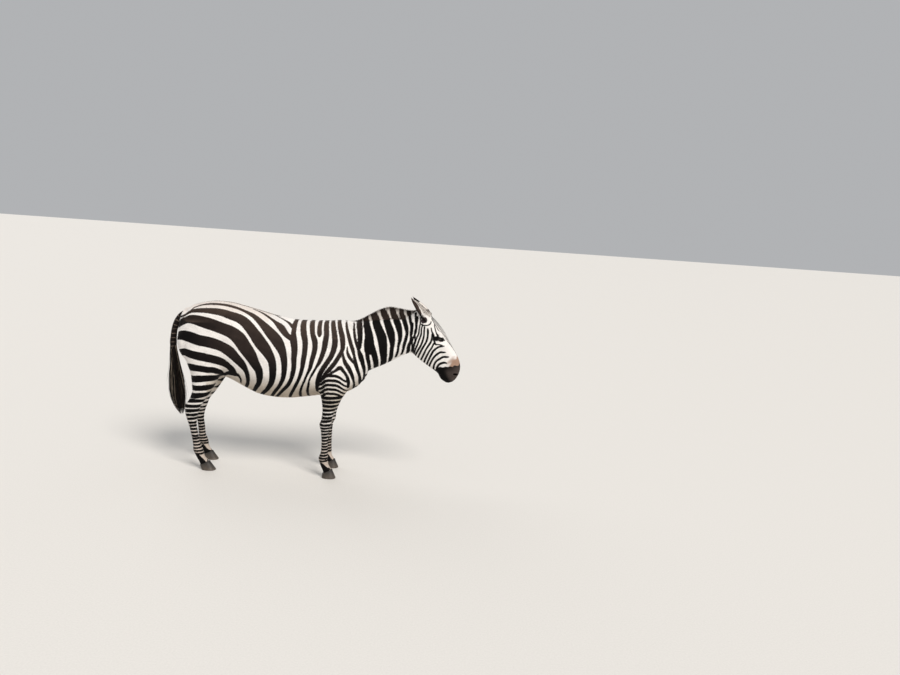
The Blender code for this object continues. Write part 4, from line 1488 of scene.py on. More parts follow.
def on_nose(local: Array, start: float, full: float) -> Array:
    """How much points of the head belong to the brown patch above the nostrils."""
    wave = 0.012 * waves(local, 0.03, 11)
    return smooth(start, full, local[:, 0] + wave) * smooth(-0.020, 0.014, local[:, 2] + wave)


# ---------------------------------------------------------------- the skin

@dataclass
class Roots:
    """Where hairs grow: places on the skin with its normals and unwrap."""
    places: Array
    normals: Array
    unwrap: Array

    def pick(self, mask: Array) -> "Roots":
        """The roots chosen by a mask or by numbers."""
        return Roots(self.places[mask], self.normals[mask], self.unwrap[mask])


@dataclass
class Surface:
    """The skin's corners and triangles."""
    points: Array
    normals: Array
    corners: Array          # the three corners of each triangle
    unwrap: Array           # the same triangles on the flat unwrap

    def scatter(self, count: int, weight: Array, seed: int) -> Roots:
        """Spread roots evenly over the triangles, by area times a weight for each triangle.

        Args:
            count: how many roots.
            weight: the wanted density of each triangle.
            seed: picks the places.

        Returns:
            The roots.
        """
        rng = np.random.default_rng(seed)
        a, b, c = (self.points[self.corners[:, k]] for k in range(3))
        total = np.cumsum(np.linalg.norm(np.cross(b - a, c - a), axis=1) * weight)
        wanted = (np.arange(count) + rng.random(count)) / count * total[-1]
        chosen = np.minimum(np.searchsorted(total, wanted), len(total) - 1)
        u, v = rng.random(count), rng.random(count)
        over = u + v > 1.0
        u, v = np.where(over, 1.0 - u, u), np.where(over, 1.0 - v, v)
        shares = np.stack([1.0 - u - v, u, v], axis=1)
        corners = self.corners[chosen]

        def mixed(values: Array) -> Array:
            """Values at the roots from those at their triangle's corners."""
            return np.einsum("nk,nk...->n...", shares, values)

        places, normals = mixed(self.points[corners]), mixed(self.normals[corners])
        return Roots(places, unit(normals), mixed(self.unwrap[chosen]))


@dataclass(frozen=True)
class Hide:
    """The one skin over head, neck, trunk and legs, without a seam."""
    form: Form
    markings: Markings
    low: tuple[float, float, float] = (-1.13, -0.275, 0.012)        # corners of the grid it is read from
    high: tuple[float, float, float] = (1.19, 0.275, 1.42)
    nodes: tuple[str, ...] = ("head", "neck", "trunk", *(f"{limb}leg_{side}_{part}"
                              for limb in ("fore", "hind") for side in ("left", "right")
                              for part in ("upper", "lower")))

    def net(self) -> tuple[Array, Array]:
        """The form's surface as coarse quads.

        Returns:
            The corners and the quads.
        """
        low = np.array(self.low)
        count = np.ceil((np.array(self.high) - low) / GRID_STEP).astype(int) + 1
        lines = [low[k] + GRID_STEP * np.arange(count[k]) for k in range(3)]
        grid = np.stack(np.meshgrid(*lines, indexing="ij"), axis=-1).reshape(-1, 3)
        return surface_net(self.form.distance(grid).reshape(tuple(count)), low, GRID_STEP)

    def divide(self, work: bmesh.types.BMesh, keep: Array) -> None:
        """Halve the edges whose two ends are both kept.

        Args:
            work: the mesh in the making.
            keep: which corners are kept.
        """
        edges = [edge for edge in work.edges if keep[edge.verts[0].index] and keep[edge.verts[1].index]]
        bmesh.ops.subdivide_edges(work, edges=edges, cuts=1, use_grid_fill=True)
        work.verts.index_update()

    def relax(self, work: bmesh.types.BMesh, rounds: int) -> Array:
        """Even out the corners along the surface and settle them on it.

        Args:
            work: the mesh in the making.
            rounds: how often to even them out.

        Returns:
            The places of the corners.
        """
        places = np.array([vert.co for vert in work.verts])
        ends = np.array([(edge.verts[0].index, edge.verts[1].index) for edge in work.edges])
        number = np.maximum(np.bincount(ends.ravel(), minlength=len(places)), 1)[:, None]
        places = self.form.settle(places, 2)
        for _ in range(rounds):
            total = np.stack([np.bincount(ends[:, 0], places[ends[:, 1], k], len(places))
                              + np.bincount(ends[:, 1], places[ends[:, 0], k], len(places))
                              for k in range(3)], axis=1)
            shift = total / number - places
            normal = unit(self.form.normals(places))
            shift -= np.sum(shift * normal, axis=1, keepdims=True) * normal
            places = self.form.settle(places + 0.6 * shift, 1)
        for vert, place in zip(work.verts, places):
            vert.co = place
        return places

    def mesh(self) -> Thing:
        """Build the net, finer on the legs and head and finest round the eyes and nostrils.

        Returns:
            The skin.
        """
        points, quads = self.net()
        work = bmesh.new()
        verts = [work.verts.new(point) for point in points]
        for quad in quads:
            work.faces.new([verts[k] for k in quad])
        work.verts.index_update()
        places = self.relax(work, 2)
        legs = places[:, 2] < 0.70 - 0.02 * (np.abs(places[:, 1]) < 0.05)
        belly = (places[:, 2] > 0.58) & (np.abs(places[:, 0] + 0.25) < 0.38)
        head = (places[:, 0] > 0.76) & (places[:, 2] < 1.40)
        self.divide(work, (legs & ~belly) | head)
        places = self.relax(work, 1)
        local = folded(HEAD_PLACE.local(places))
        eye = np.linalg.norm(local - (EYE_CENTRE + (0.0, 0.015, 0.0)), axis=1) < 0.040
        nose = np.linalg.norm(local - NOSTRIL, axis=1) < 0.036
        self.divide(work, eye | nose | (to_path(local, MOUTH) < 0.014))
        self.relax(work, 1)
        faces = [[vert.index for vert in face.verts] for face in work.faces]
        places = np.array([vert.co for vert in work.verts])
        work.free()
        return make_object("skin", places, faces)

    def unwrap(self, thing: Thing) -> None:
        """Lay the skin flat in patches, on the map that the coat's tufts also use.

        Args:
            thing: the skin.
        """
        thing.data.uv_layers.new(name="OFBake")
        bpy.context.view_layer.objects.active = thing
        thing.select_set(True)
        bpy.ops.object.mode_set(mode="EDIT")
        bpy.ops.mesh.select_all(action="SELECT")
        bpy.ops.uv.smart_project(angle_limit=math.radians(66.0), island_margin=0.002)
        bpy.ops.object.mode_set(mode="OBJECT")
        thing.select_set(False)

    def build(self, finish: HideFinish) -> tuple[Thing, Surface]:
        """Make the skin, paint it and read it back for the hair.

        Args:
            finish: the hair's look.

        Returns:
            The skin and its surface.
        """
        thing = self.mesh()
        self.unwrap(thing)
        mesh = thing.data
        mesh.calc_loop_triangles()
        points = read_numbers(mesh.vertices, "co", 3, np.float32)
        normals = unit(self.form.normals(points, 0.004))
        paint(thing, *self.markings.read(points, normals), finish.material())
        corners, loops = (read_numbers(mesh.loop_triangles, name, 3, np.int32)
                          for name in ("vertices", "loops"))
        flat = read_numbers(mesh.uv_layers["OFBake"].data, "uv", 2, np.float32)
        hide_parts(*self.nodes)
        dress(thing)
        return thing, Surface(points, normals, corners, flat[loops])


def dress(thing: Thing) -> Thing:
    """Fix a piece to the body.

    Args:
        thing: the piece.

    Returns:
        The piece.
    """
    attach(thing, "root")
    return thing


def paint(thing: Thing, ink: Array, pale: Array, dark: Array, finish: Material) -> None:
    """Give a piece its coat colours and finish.

    Args:
        thing: the piece.
        ink: how deep each corner lies in the black.
        pale: its pale colour.
        dark: its dark colour.
        finish: the material.
    """
    for name, values in (("ink", ink), ("pale", pale), ("dark", dark)):
        set_attribute(thing.data, name, values)
    thing.data.materials.append(finish)


# ---------------------------------------------------------------- hair

def blades(paths: Array, across: Array, widths: Array) -> tuple[Array, Array]:
    """Flat tapering blades.

    Args:
        paths: middle lines from root to tip, as (hair, step, xyz).
        across: direction of each blade's width.
        widths: widths along each; the tip is a point.

    Returns:
        The corners, blade by blade, and the triangles.
    """
    count, steps, _ = paths.shape
    offset = across[:, None, :] * widths[..., None] / 2.0
    pairs = np.stack([paths[:, :-1] - offset, paths[:, :-1] + offset], axis=2).reshape(count, -1, 3)
    verts = np.concatenate([pairs, paths[:, -1:]], axis=1)
    each = 2 * steps - 1
    pattern = []
    for k in range(0, 2 * steps - 4, 2):
        pattern += [(k, k + 2, k + 3), (k, k + 3, k + 1)]
    pattern.append((each - 3, each - 1, each - 2))
    faces = np.arange(count)[:, None, None] * each + np.array(pattern)[None]
    return verts.reshape(-1, 3), faces.reshape(-1, 3)


def strands(paths: Array, across: Array, radii: Array) -> tuple[Array, Array]:
    """Closed tapering hairs with three sides.

    Args:
        paths: middle lines from root to tip, as (hair, step, xyz).
        across: a direction across each hair.
        radii: radii along each; the tip is a point.

    Returns:
        The corners, hair by hair, and the triangles.
    """
    count, steps, _ = paths.shape
    along = unit(np.gradient(paths, axis=1))
    first = unit(across[:, None, :] - np.sum(across[:, None, :] * along, axis=2, keepdims=True) * along)
    second = np.cross(along, first)
    turn = np.radians((90.0, 210.0, 330.0))
    ring = (np.cos(turn)[:, None] * first[:, :-1, None, :] + np.sin(turn)[:, None] * second[:, :-1, None, :])
    ring = paths[:, :-1, None, :] + ring * radii[:, :, None, None]
    verts = np.concatenate([ring.reshape(count, -1, 3), paths[:, -1:]], axis=1)
    each = 3 * (steps - 1) + 1
    pattern = []
    for level in range(steps - 2):
        for k in range(3):
            a, b = 3 * level + k, 3 * level + (k + 1) % 3
            pattern += [(a, b, b + 3), (a, b + 3, a + 3)]
    top = 3 * (steps - 2)
    pattern += [(top, top + 1, each - 1), (top + 1, top + 2, each - 1), (top + 2, top, each - 1)]
    faces = np.arange(count)[:, None, None] * each + np.array(pattern)[None]
    return verts.reshape(-1, 3), faces.reshape(-1, 3)


@dataclass(frozen=True)
class Coat:
    """The short hair over the skin: thin tufts that lie along the body."""
    form: Form
    surface: Surface
    markings: Markings
    count: int = 168000
    pieces: int = 3
    length: float = 0.0088          # of a tuft on the trunk
    width: float = 0.0024
    root_depth: float = 0.0006      # a tuft starts this far under the skin
    patch: float = 0.0015           # half of a tuft's size on the unwrap
    bald: float = 0.018             # no tufts this close to an eye's middle

    def regions(self, points: Array) -> tuple[Array, Array, Array]:
        """How much points belong to the face, neck and legs.

        Args:
            points: the places, one in each row.

        Returns:
            Three shares for each point.
        """
        local = HEAD_PLACE.local(points)
        face = smooth(-0.02, 0.12, local[:, 0]) * (points[:, 0] > 0.72)
        neck = smooth(0.22, 0.42, points[:, 0]) * smooth(0.75, 0.95, points[:, 2]) * (1.0 - face)
        leg = smooth(0.74, 0.58, points[:, 2]) * smooth(0.02, 0.06, np.abs(points[:, 1]))
        return face, neck, leg

    def lie(self, points: Array, normals: Array) -> Array:
        """The direction of the hair: back and down the body, down the legs, towards the nose.

        Args:
            points: the places, one in each row.
            normals: the outward directions there.

        Returns:
            Directions of length one along the skin.
        """
        face, neck, leg = self.regions(points)
        back = smooth(0.05, -0.10, HEAD_PLACE.local(points)[:, 0])
        way = np.tile((-1.0, 0.0, -0.35), (len(points), 1))
        chest = smooth(0.30, 0.42, points[:, 0]) * smooth(0.95, 0.80, points[:, 2])
        for share, wanted in ((neck, (-0.80, 0.0, -0.60)), (chest, (-0.2, 0.0, -1.0)),
                              (leg, (-0.12, 0.0, -1.0)), (face * (1.0 - back), HEAD_PLACE.axes()[:, 0])):
            way += share[:, None] * (np.array(wanted) - way)
        way += 0.28 * np.stack([waves(points, 0.12, k) for k in (31, 32, 33)], axis=1)
        way += 0.16 * np.random.default_rng(5).normal(size=way.shape)
        return unit(way - np.sum(way * normals, axis=1, keepdims=True) * normals)

    def build(self, finish: HideFinish) -> list[Thing]:
        """Grow the tufts, in pieces by their place along the body.

        Args:
            finish: the hair's look.

        Returns:
            The pieces.
        """
        centres = self.surface.points[self.surface.corners].mean(axis=1)
        face, neck, leg = self.regions(centres)
        local = folded(HEAD_PLACE.local(centres))
        hidden = np.linalg.norm(local - (EYE_CENTRE + (0.0, 0.012, 0.0)), axis=1) < self.bald
        weight = (1.0 + 1.6 * face + 1.0 * leg + 0.1 * neck) * np.where(hidden, 0.0, 1.0)
        roots = self.surface.scatter(self.count, weight, 7)
        order = np.argsort(roots.places[:, 0], kind="stable")
        material = finish.material()
        return [self.piece(f"coat_{number}", roots.pick(group), material)
                for number, group in enumerate(np.array_split(order, self.pieces))]

    def piece(self, name: str, roots: Roots, material: Material) -> Thing:
        """One piece of the coat from its roots.

        Args:
            name: the piece's name.
            roots: where its tufts grow.
            material: their material.

        Returns:
            The piece.
        """
        rng = np.random.default_rng(len(name) + int(name[-1]))
        count = len(roots.places)
        face, neck, leg = self.regions(roots.places)
        depth = COAT_DEPTH + (FACE_DEPTH - COAT_DEPTH) * self.form.bare(roots.places)
        under = smooth(-0.5, -0.9, roots.normals[:, 2]) * (1.0 - face)
        length = (self.length + 0.002 * neck + 0.004 * under) * (1.0 - 0.50 * face) * (1.0 - 0.25 * leg)
        length *= rng.uniform(0.75, 1.2, count)
        width = self.width * (1.0 - 0.45 * face) * (1.0 - 0.2 * leg) * rng.uniform(0.7, 1.2, count)
        way = self.lie(roots.places, roots.normals)
        across = np.cross(roots.normals, way)
        rise = depth * rng.uniform(0.45, 0.95, count)
        middle = roots.places + way * (length * 0.5)[:, None] + roots.normals * (rise * 0.62)[:, None]
        tip = roots.places + way * length[:, None] + roots.normals * (rise * 0.85)[:, None]
        tip += across * (length * rng.uniform(-0.12, 0.12, count))[:, None]
        paths = np.stack([roots.places - roots.normals * self.root_depth, middle, tip], axis=1)
        verts, faces = blades(paths, across, np.stack([width, width * 0.8], axis=1))
        thing = make_object(name, verts, faces.tolist())
        mesh = thing.data
        patch = self.patch * np.array(((-1.0, -1.0), (1.0, -1.0), (-0.8, 0.0), (0.8, 0.0), (0.0, 1.0)))
        flat = (roots.unwrap[:, None, :] + patch[None]).reshape(-1, 2)
        layer = mesh.uv_layers.new(name="OFBake")
        layer.data.foreach_set("uv", flat[faces.ravel()].astype(np.float32).ravel())
        tone = rng.normal(1.0, 0.09, count).clip(0.75, 1.2)[:, None]
        ink, pale, dark = self.markings.read(middle, roots.normals)
        ink += rng.normal(0.0, 0.0010, count)
        each = len(patch)
        paint(thing, np.repeat(ink, each), np.repeat(pale * tone, each, axis=0),
              np.repeat(dark * tone, each, axis=0), material)
        lean = unit(roots.normals + 0.10 * rng.normal(size=(count, 3)) - 0.06 * way)
        mesh.normals_split_custom_set_from_vertices(np.repeat(lean, each, axis=0).tolist())
        return dress(thing)


# The mane's rows: x, height of the crest, height of the tips, half its thickness.
MANE_ROWS = (
    (270, 1215, 1252, 8), (350, 1205, 1275, 13), (440, 1225, 1328, 17),
    (520, 1240, 1374, 19), (590, 1250, 1396, 20), (670, 1255, 1390, 20),
    (760, 1260, 1380, 20), (835, 1280, 1392, 19), (885, 1285, 1398, 16),
    (925, 1290, 1368, 10),
)
# The tail's rows: x, height, half depth and half width, of its fleshy dock and of its long hair.
DOCK_ROWS = (
    (-960, 1238, 30, 30), (-985, 1235, 30, 30), (-1045, 1215, 30, 31),
    (-1088, 1165, 28, 30), (-1112, 1100, 26, 28), (-1120, 1035, 27, 28),
    (-1122, 965, 28, 28), (-1120, 930, 20, 20), (-1119, 915, 6, 6),
)
TUFT_ROWS = (
    (-1121, 1000, 24, 25), (-1122, 965, 28, 28), (-1115, 900, 36, 34),
    (-1105, 800, 46, 42), (-1094, 700, 58, 48), (-1083, 600, 63, 48),
    (-1070, 510, 54, 40), (-1054, 440, 34, 26), (-1042, 395, 12, 10),
)
MANE_BROWN, MANE_BLACK = "#54402f", "#2b211c"
MANE_WHITE, MANE_DARK = "#efe9e2", "#3a302b"


@dataclass(frozen=True)
class Mane:
    """The upright mane: a core that carries the neck's bands, with stiff hairs over it."""
    markings: Markings
    count: int = 12500
    hair_radius: float = 0.0011
    rows: int = 170             # of the core
    columns: int = 14
    buried: float = 0.02        # how far the core reaches down under the crest
    cover: float = 0.009        # how far the hairs stand above the core

    @functools.cached_property
    def crest(self) -> Array:
        """The rows of the crest, closer together, from the origin."""
        return through(MANE_ROWS, 400) - (CENTRE_X, 0.0, 0.0, 0.0)

    def at(self, x: Array) -> tuple[Array, Array, Array]:
        """Height of the crest and of the tips, and half thickness, over x."""
        return tuple(np.interp(x, self.crest[:, 0], self.crest[:, k]) for k in (1, 2, 3))

    def colours(self, points: Array) -> tuple[Array, Array, Array]:
        """Ink from the neck's bands carried up through the mane, and brown tips.

        Args:
            points: the places, one in each row.

        Returns:
            The ink distance, and the pale and the dark colour.
        """
        ink = self.markings.ink.upright(points)
        crest, top, _ = self.at(points[:, 0])
        ink += 0.004 * waves(points * (1.0, 1.0, 0.25), 0.02, 44)
        tip = smooth(-0.022, -0.004, points[:, 2] - top + 0.006 * waves(points, 0.03, 45))
        tip *= smooth(0.02, 0.06, top - crest)
        low = smooth(0.045, 0.0, points[:, 2] - crest)
        pale = layered(MANE_WHITE, (tip, MANE_BROWN), (low * (1.0 - tip), PALE_HAIR))
        frayed = np.where(tip > 0.9, 0.002 * waves(points, 0.01, 46), -1.0)
        return np.maximum(ink, frayed), pale, layered(MANE_DARK, (tip, MANE_BLACK))

    def build(self, finish: Material) -> list[Thing]:
        """Make the core and the hairs.

        Args:
            finish: the material.

        Returns:
            The core and the two pieces of hair.
        """
        x = np.linspace(self.crest[0, 0] + 0.004, self.crest[-1, 0] - 0.004, self.rows)
        crest, top, half = self.at(x)
        turn = turns(self.columns)
        rise = (1.0 + np.sin(turn)) / 2.0
        height = crest[:, None] - self.buried + (top - self.cover - crest + self.buried)[:, None] * rise
        wide = np.sign(np.cos(turn)) * np.abs(np.cos(turn)) ** 0.6 * (1.55 - 1.15 * rise)
        verts = xyz(x[:, None], 0.42 * half[:, None] * wide, height).reshape(-1, 3)
        core = make_object("mane_core", verts, barrel_faces(self.rows, self.columns, True))
        paint(core, *self.colours(verts), finish)
        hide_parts("mane")
        return [dress(core), *self.hairs(finish)]

    def hairs(self, finish: Material) -> list[Thing]:
        """Stiff hairs that stand on the crest and lean a little outwards, in a piece for each side.

        Args:
            finish: the material.

        Returns:
            The two pieces.
        """
        rng = np.random.default_rng(61)
        count = self.count
        x = rng.uniform(self.crest[0, 0], self.crest[-1, 0], count)
        crest, _, half = self.at(x)
        side = rng.uniform(-1.0, 1.0, count)
        lean = -0.016 + 0.045 * smooth(0.80, 0.91, x) + rng.normal(0.0, 0.004, count)
        end = np.clip(x + lean, self.crest[0, 0], self.crest[-1, 0])
        peak = self.at(end)[1] - rng.uniform(0.0, 0.014, count)
        steps = np.linspace(0.0, 1.0, 5)[None, :]
        start = (crest - 0.004 - 0.012 * np.abs(side))[:, None]
        path_x = x[:, None] + (end - x)[:, None] * steps ** 1.4
        path_y = (half * side)[:, None] * (0.85 - 0.30 * steps) + rng.normal(0.0, 0.0012, (count, 1)) * steps
        path_z = start + (peak[:, None] - start) * steps
        paths = xyz(path_x, path_y, path_z)
        across = np.tile((1.0, 0.0, 0.0), (count, 1)) + rng.normal(0.0, 0.4, (count, 3))
        radii = self.hair_radius * rng.uniform(0.8, 1.2, (count, 1)) * np.array((1.0, 1.0, 0.85, 0.6))
        tone = rng.normal(1.0, 0.12, count).clip(0.7, 1.3)
        stray = rng.normal(0.0, 0.0016, count)
        made = []
        for name, mine in (("mane_hairs_left", side > 0.0), ("mane_hairs_right", side <= 0.0)):
            verts, faces = strands(paths[mine], across[mine], radii[mine])
            thing = make_object(name, verts, faces.tolist())
            each = len(verts) // np.count_nonzero(mine)
            shades = np.repeat(tone[mine], each)[:, None]
            ink, pale, dark = self.colours(verts)
            paint(thing, ink + np.repeat(stray[mine], each), pale * shades, dark * shades, finish)
            made.append(dress(thing))
        return made


@dataclass(frozen=True)
class Tail:
    """The tail: a dock with short bars and a long tuft of black hair."""
    count: int = 3900
    locks: int = 46
    hair_radius: float = 0.0014
    rows: int = 60              # of the dock
    columns: int = 24
    bar_spacing: float = 0.036
    inset: float = 0.003        # how far the dock's skin lies under its rows

    def dense(self, rows: tuple, count: int) -> Array:
        """The rows at even steps along the tail.

        Args:
            rows: a table in millimetres.
            count: how many rows to return.

        Returns:
            The rows in metres, from the origin.
        """
        table = metres(rows)
        travel = travelled(table)
        return along_curve(table, travel, np.linspace(0.0, travel[-1], count)) - (CENTRE_X, 0.0, 0.0, 0.0)

    def build(self, hide: Material, finish: Material) -> list[Thing]:
        """Make the dock and the tuft.

        Args:
            hide: the material of the dock.
            finish: the material of the hairs.

        Returns:
            The dock and the hairs.
        """
        rows = self.dense(DOCK_ROWS, self.rows)
        slope = unit(np.gradient(rows[:, :2], axis=0))
        turn = turns(self.columns)
        reach = (rows[:, 2:3] - self.inset) * np.cos(turn)
        verts = xyz(rows[:, :1] + slope[:, 1:] * reach, (rows[:, 3:] - self.inset) * np.sin(turn),
                    rows[:, 1:2] - slope[:, :1] * reach).reshape(-1, 3)
        dock = make_object("dock", verts, barrel_faces(self.rows, self.columns))
        travel = np.cumsum(np.linalg.norm(np.gradient(rows[:, :2], axis=0), axis=1))
        phase = np.repeat(travel, self.columns) * 2.0 * math.pi / self.bar_spacing
        bars = 0.0075 * np.cos(phase + 0.8 * waves(verts, 0.05, 51)) + 0.0064
        keel = 0.009 - np.abs(verts[:, 1]) - 0.02 * (np.tile(np.cos(turn), self.rows) > 0.0)
        pale, dark = (np.tile(shade(name), (len(verts), 1)) for name in ("#84766a", "#171210"))
        paint(dock, np.maximum(bars, keel), pale, dark, hide)
        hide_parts("tail_dock")
        return [dress(dock), self.hairs(finish)]

    def hairs(self, finish: Material) -> Thing:
        """Long hairs that fall from the lower dock in loose locks.

        Args:
            finish: the material.

        Returns:
            The hairs.
        """
        rng = np.random.default_rng(71)
        count, steps = self.count, 9
        table = self.dense(TUFT_ROWS, 120)
        start = rng.uniform(0.0, 0.42, count) ** 1.5
        end = rng.uniform(0.32, 1.0, count) ** 0.7
        share = start[:, None] + (end - start)[:, None] * np.linspace(0.0, 1.0, steps)
        at = share * (len(table) - 1)
        x, z, depth, half = (np.interp(at, np.arange(len(table)), table[:, k]) for k in range(4))
        lock = rng.integers(0, self.locks, count)
        place = rng.random((self.locks, 2))
        angle = 2.0 * math.pi * place[lock, 0] + rng.normal(0.0, 0.25, count)
        radius = np.sqrt(place[lock, 1] * 0.85 + 0.15) * rng.uniform(0.80, 1.02, count)
        start_angle = rng.uniform(0.0, 6.28, self.locks)[lock][:, None]
        angle = angle[:, None] + 0.10 * np.sin(share * 9.0 + start_angle) * share
        stray = 1.0 + rng.exponential(0.10, count).clip(0.0, 0.55)
        radius = radius[:, None] * (0.86 + (stray[:, None] - 0.86) * np.linspace(0.0, 1.0, steps) ** 1.5)
        paths = xyz(x + depth * radius * np.cos(angle), half * radius * np.sin(angle), z)
        across = rng.normal(size=(count, 3))
        radii = self.hair_radius * rng.uniform(0.8, 1.3, (count, 1)) * np.linspace(1.0, 0.45, steps - 1)
        verts, faces = strands(paths, across, radii)
        thing = make_object("tail_hairs", verts, faces.tolist())
        tone = rng.normal(1.0, 0.2, count).clip(0.5, 1.6)[:, None]
        white = (rng.random(count) < 0.05)[:, None]
        brown = (rng.random(count) < 0.18)[:, None]
        colour = np.where(white, shade("#a89a8a"), np.where(brown, shade("#33261d"), shade("#15110f")))
        full = np.repeat(colour * tone, len(verts) // count, axis=0)
        paint(thing, np.full(len(full), 0.02), full, full, finish)
        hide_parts("tail_tuft")
        return dress(thing)


# ---------------------------------------------------------------- head pieces

@dataclass(frozen=True)
class Ear:
    """A cupped ear: an outer and an inner surface, striped behind and pale with dark rims inside."""
    side: int
    length: float = 0.215
    width: float = 0.088
    wall: float = 0.005
    lift: float = math.radians(30.0)        # how far it lies back
    fringe_count: int = 900
    fringe_radius: float = 0.0007
    rows: int = 36
    columns: int = 25
    inside_white: str = "#f4eee8"
    inside_dark: str = "#40342f"

    @functools.cached_property
    def name(self) -> str:
        """Left or right."""
        return "left" if self.side > 0 else "right"

    @functools.cached_property
    def axes(self) -> tuple[Array, Array, Array]:
        """The ear's directions: up along it, towards its opening, and across.

        Returns:
            The three directions.
        """
        along = unit(np.array((-math.sin(self.lift), self.side * 0.16, math.cos(self.lift))))
        opening = np.array((0.80, self.side * 0.60, 0.22))
        opening = unit(opening - along * (opening @ along))
        return along, opening, np.cross(along, opening)

    def layer(self, depth: float) -> Array:
        """One surface of the ear, depth in from the outer one, as rows from root to tip.

        Args:
            depth: how far in it lies.

        Returns:
            Places as (row, column, xyz).
        """
        along, opening, across = self.axes
        share = np.linspace(0.0, 1.0, self.rows)[:, None]
        turn = np.linspace(-1.0, 1.0, self.columns)[None, :]
        half = self.width / 2.0 * (np.sin(math.pi * np.minimum(share * 0.80 + 0.22, 1.0)) ** 0.75 + 0.035)
        cup = np.radians(215.0 - 120.0 * share)
        radius = half / np.maximum(np.sin(np.minimum(cup, math.pi) / 2.0), 0.35)
        root = HEAD_PLACE.world(np.array(((0.052, self.side * 0.052, 0.012),)))[0]
        lean = -0.035 * share * share
        centre = root + along * (self.length * share - 0.012) + opening * (radius * 0.55 + lean)
        reach = radius - 0.003 - depth * (1.0 - 0.55 * share) * np.sqrt(np.clip(1.0 - turn ** 6, 0.0, 1.0))
        angle = math.pi + cup * turn / 2.0
        spot = (np.cos(angle) * reach)[..., None] * opening + (np.sin(angle) * reach)[..., None] * across
        return centre[:, None, :] + spot

    def build(self, finish: Material) -> list[Thing]:
        """Make the ear with its fringe.

        Args:
            finish: the material.

        Returns:
            The ear and its fringe.
        """
        outer, inner = self.layer(0.0), self.layer(self.wall)
        columns = 2 * self.columns
        verts = np.concatenate([outer, inner[:, ::-1]], axis=1).reshape(-1, 3)
        thing = make_object(f"pinna_{self.name}", verts, barrel_faces(self.rows, columns, self.side > 0))
        share = np.repeat(np.linspace(0.0, 1.0, self.rows), columns)
        turn = np.linspace(-1, 1, self.columns)
        turn = np.tile(np.concatenate([turn, -turn]), self.rows)
        inside = np.tile(np.repeat((0.0, 1.0), self.columns), self.rows)
        paint(thing, *self.colours(verts, share, turn, inside), finish)
        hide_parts(f"ear_{self.name}")
        return [dress(thing), self.fringe(inner, finish)]

    def colours(self, verts: Array, share: Array, turn: Array,
                inside: Array) -> tuple[Array, Array, Array]:
        """Black behind at the tip and low down with white between; inside, cream with a dark rim that painted
        shade of the cup widens at the rear.

        Args:
            verts: the corners.
            share: how far up the ear each lies.
            turn: how far round it, from -1 to 1.
            inside: 1 on the inner surface.

        Returns:
            The ink distance, and the pale and the dark colour.
        """
        wave = 0.006 * waves(verts, 0.03, 81)
        rear = -self.side * turn
        tip = (share - 0.70) * self.length
        low = np.minimum(0.030 - np.abs(share - 0.16) * self.length, 0.02)
        low = np.maximum(low, (rear - 0.40) * 0.04)
        back = np.minimum(np.maximum(tip, low), (0.965 - share) * self.length) + wave
        # the inner rear dark is the rim's dark hair widened by painted shade of the cup
        rim = np.maximum(np.abs(turn) - 0.90, rear + self.dark_edge(share)) * 0.04
        front = np.maximum(rim, (share - 0.90) * self.length) + 0.3 * wave
        deep = 0.25 * inside * smooth(0.34, 0.08, share) * smooth(0.8, 0.3, np.abs(turn))
        pale = layered(MANE_WHITE, (inside, self.inside_white), (deep, "#4a3a34"))
        return np.where(inside > 0.5, front, back), pale, layered("#171211", (inside, self.inside_dark))

    def dark_edge(self, share: Array) -> Array:
        """How far the dark reaches in from the ear's rear edge, more towards the tip: dark hair at the rim,
        widened inside the cup by painted shade.
        """
        return 0.95 * share - 0.14

    def fringe(self, inner: Array, finish: Material) -> Thing:
        """Pale hairs that reach in from the ear's rims.

        Args:
            inner: the inner surface's places.
            finish: the material.

        Returns:
            The fringe.
        """
        along, opening, _ = self.axes
        rng = np.random.default_rng(82 + self.side)
        count, far = self.fringe_count, self.columns - 1
        row = rng.uniform(2.0, self.rows - 5.0, count)
        edge = rng.random(count) < 0.5
        column = np.where(edge, rng.uniform(0.5, 5.0, count), far - rng.uniform(0.5, 5.0, count))
        at = inner[row.astype(int), column.astype(int)]
        other = inner[row.astype(int), far - column.astype(int)]
        way = unit(unit(other - at) * 0.8 + along * 0.8 + opening * 0.25 + 0.2 * rng.normal(size=at.shape))
        length = rng.uniform(0.012, 0.026, count) * (1.1 - 0.4 * row / self.rows)
        steps = np.linspace(0.0, 1.0, 4)[None, :, None]
        paths = at[:, None, :] + way[:, None, :] * length[:, None, None] * steps
        paths -= opening * 0.004 * steps ** 2
        radii = self.fringe_radius * np.ones((count, 1)) * (1.0, 0.8, 0.5)
        verts, faces = strands(paths, rng.normal(size=at.shape), radii)
        thing = make_object(f"ear_fringe_{self.name}", verts, faces.tolist())
        each = len(verts) // count
        tone = np.repeat(rng.normal(1.0, 0.1, count), each)[:, None]
        # fringe hairs are dark over the rim's dark hair and its painted shade
        rear = self.dark_edge(row / self.rows) - self.side * (2.0 * column / far - 1.0) > 0.0
        paint(thing, np.where(np.repeat(rear, each), 0.02, -0.02), shade(self.inside_white) * tone,
              shade(self.inside_dark) * tone, finish)
        return dress(thing)


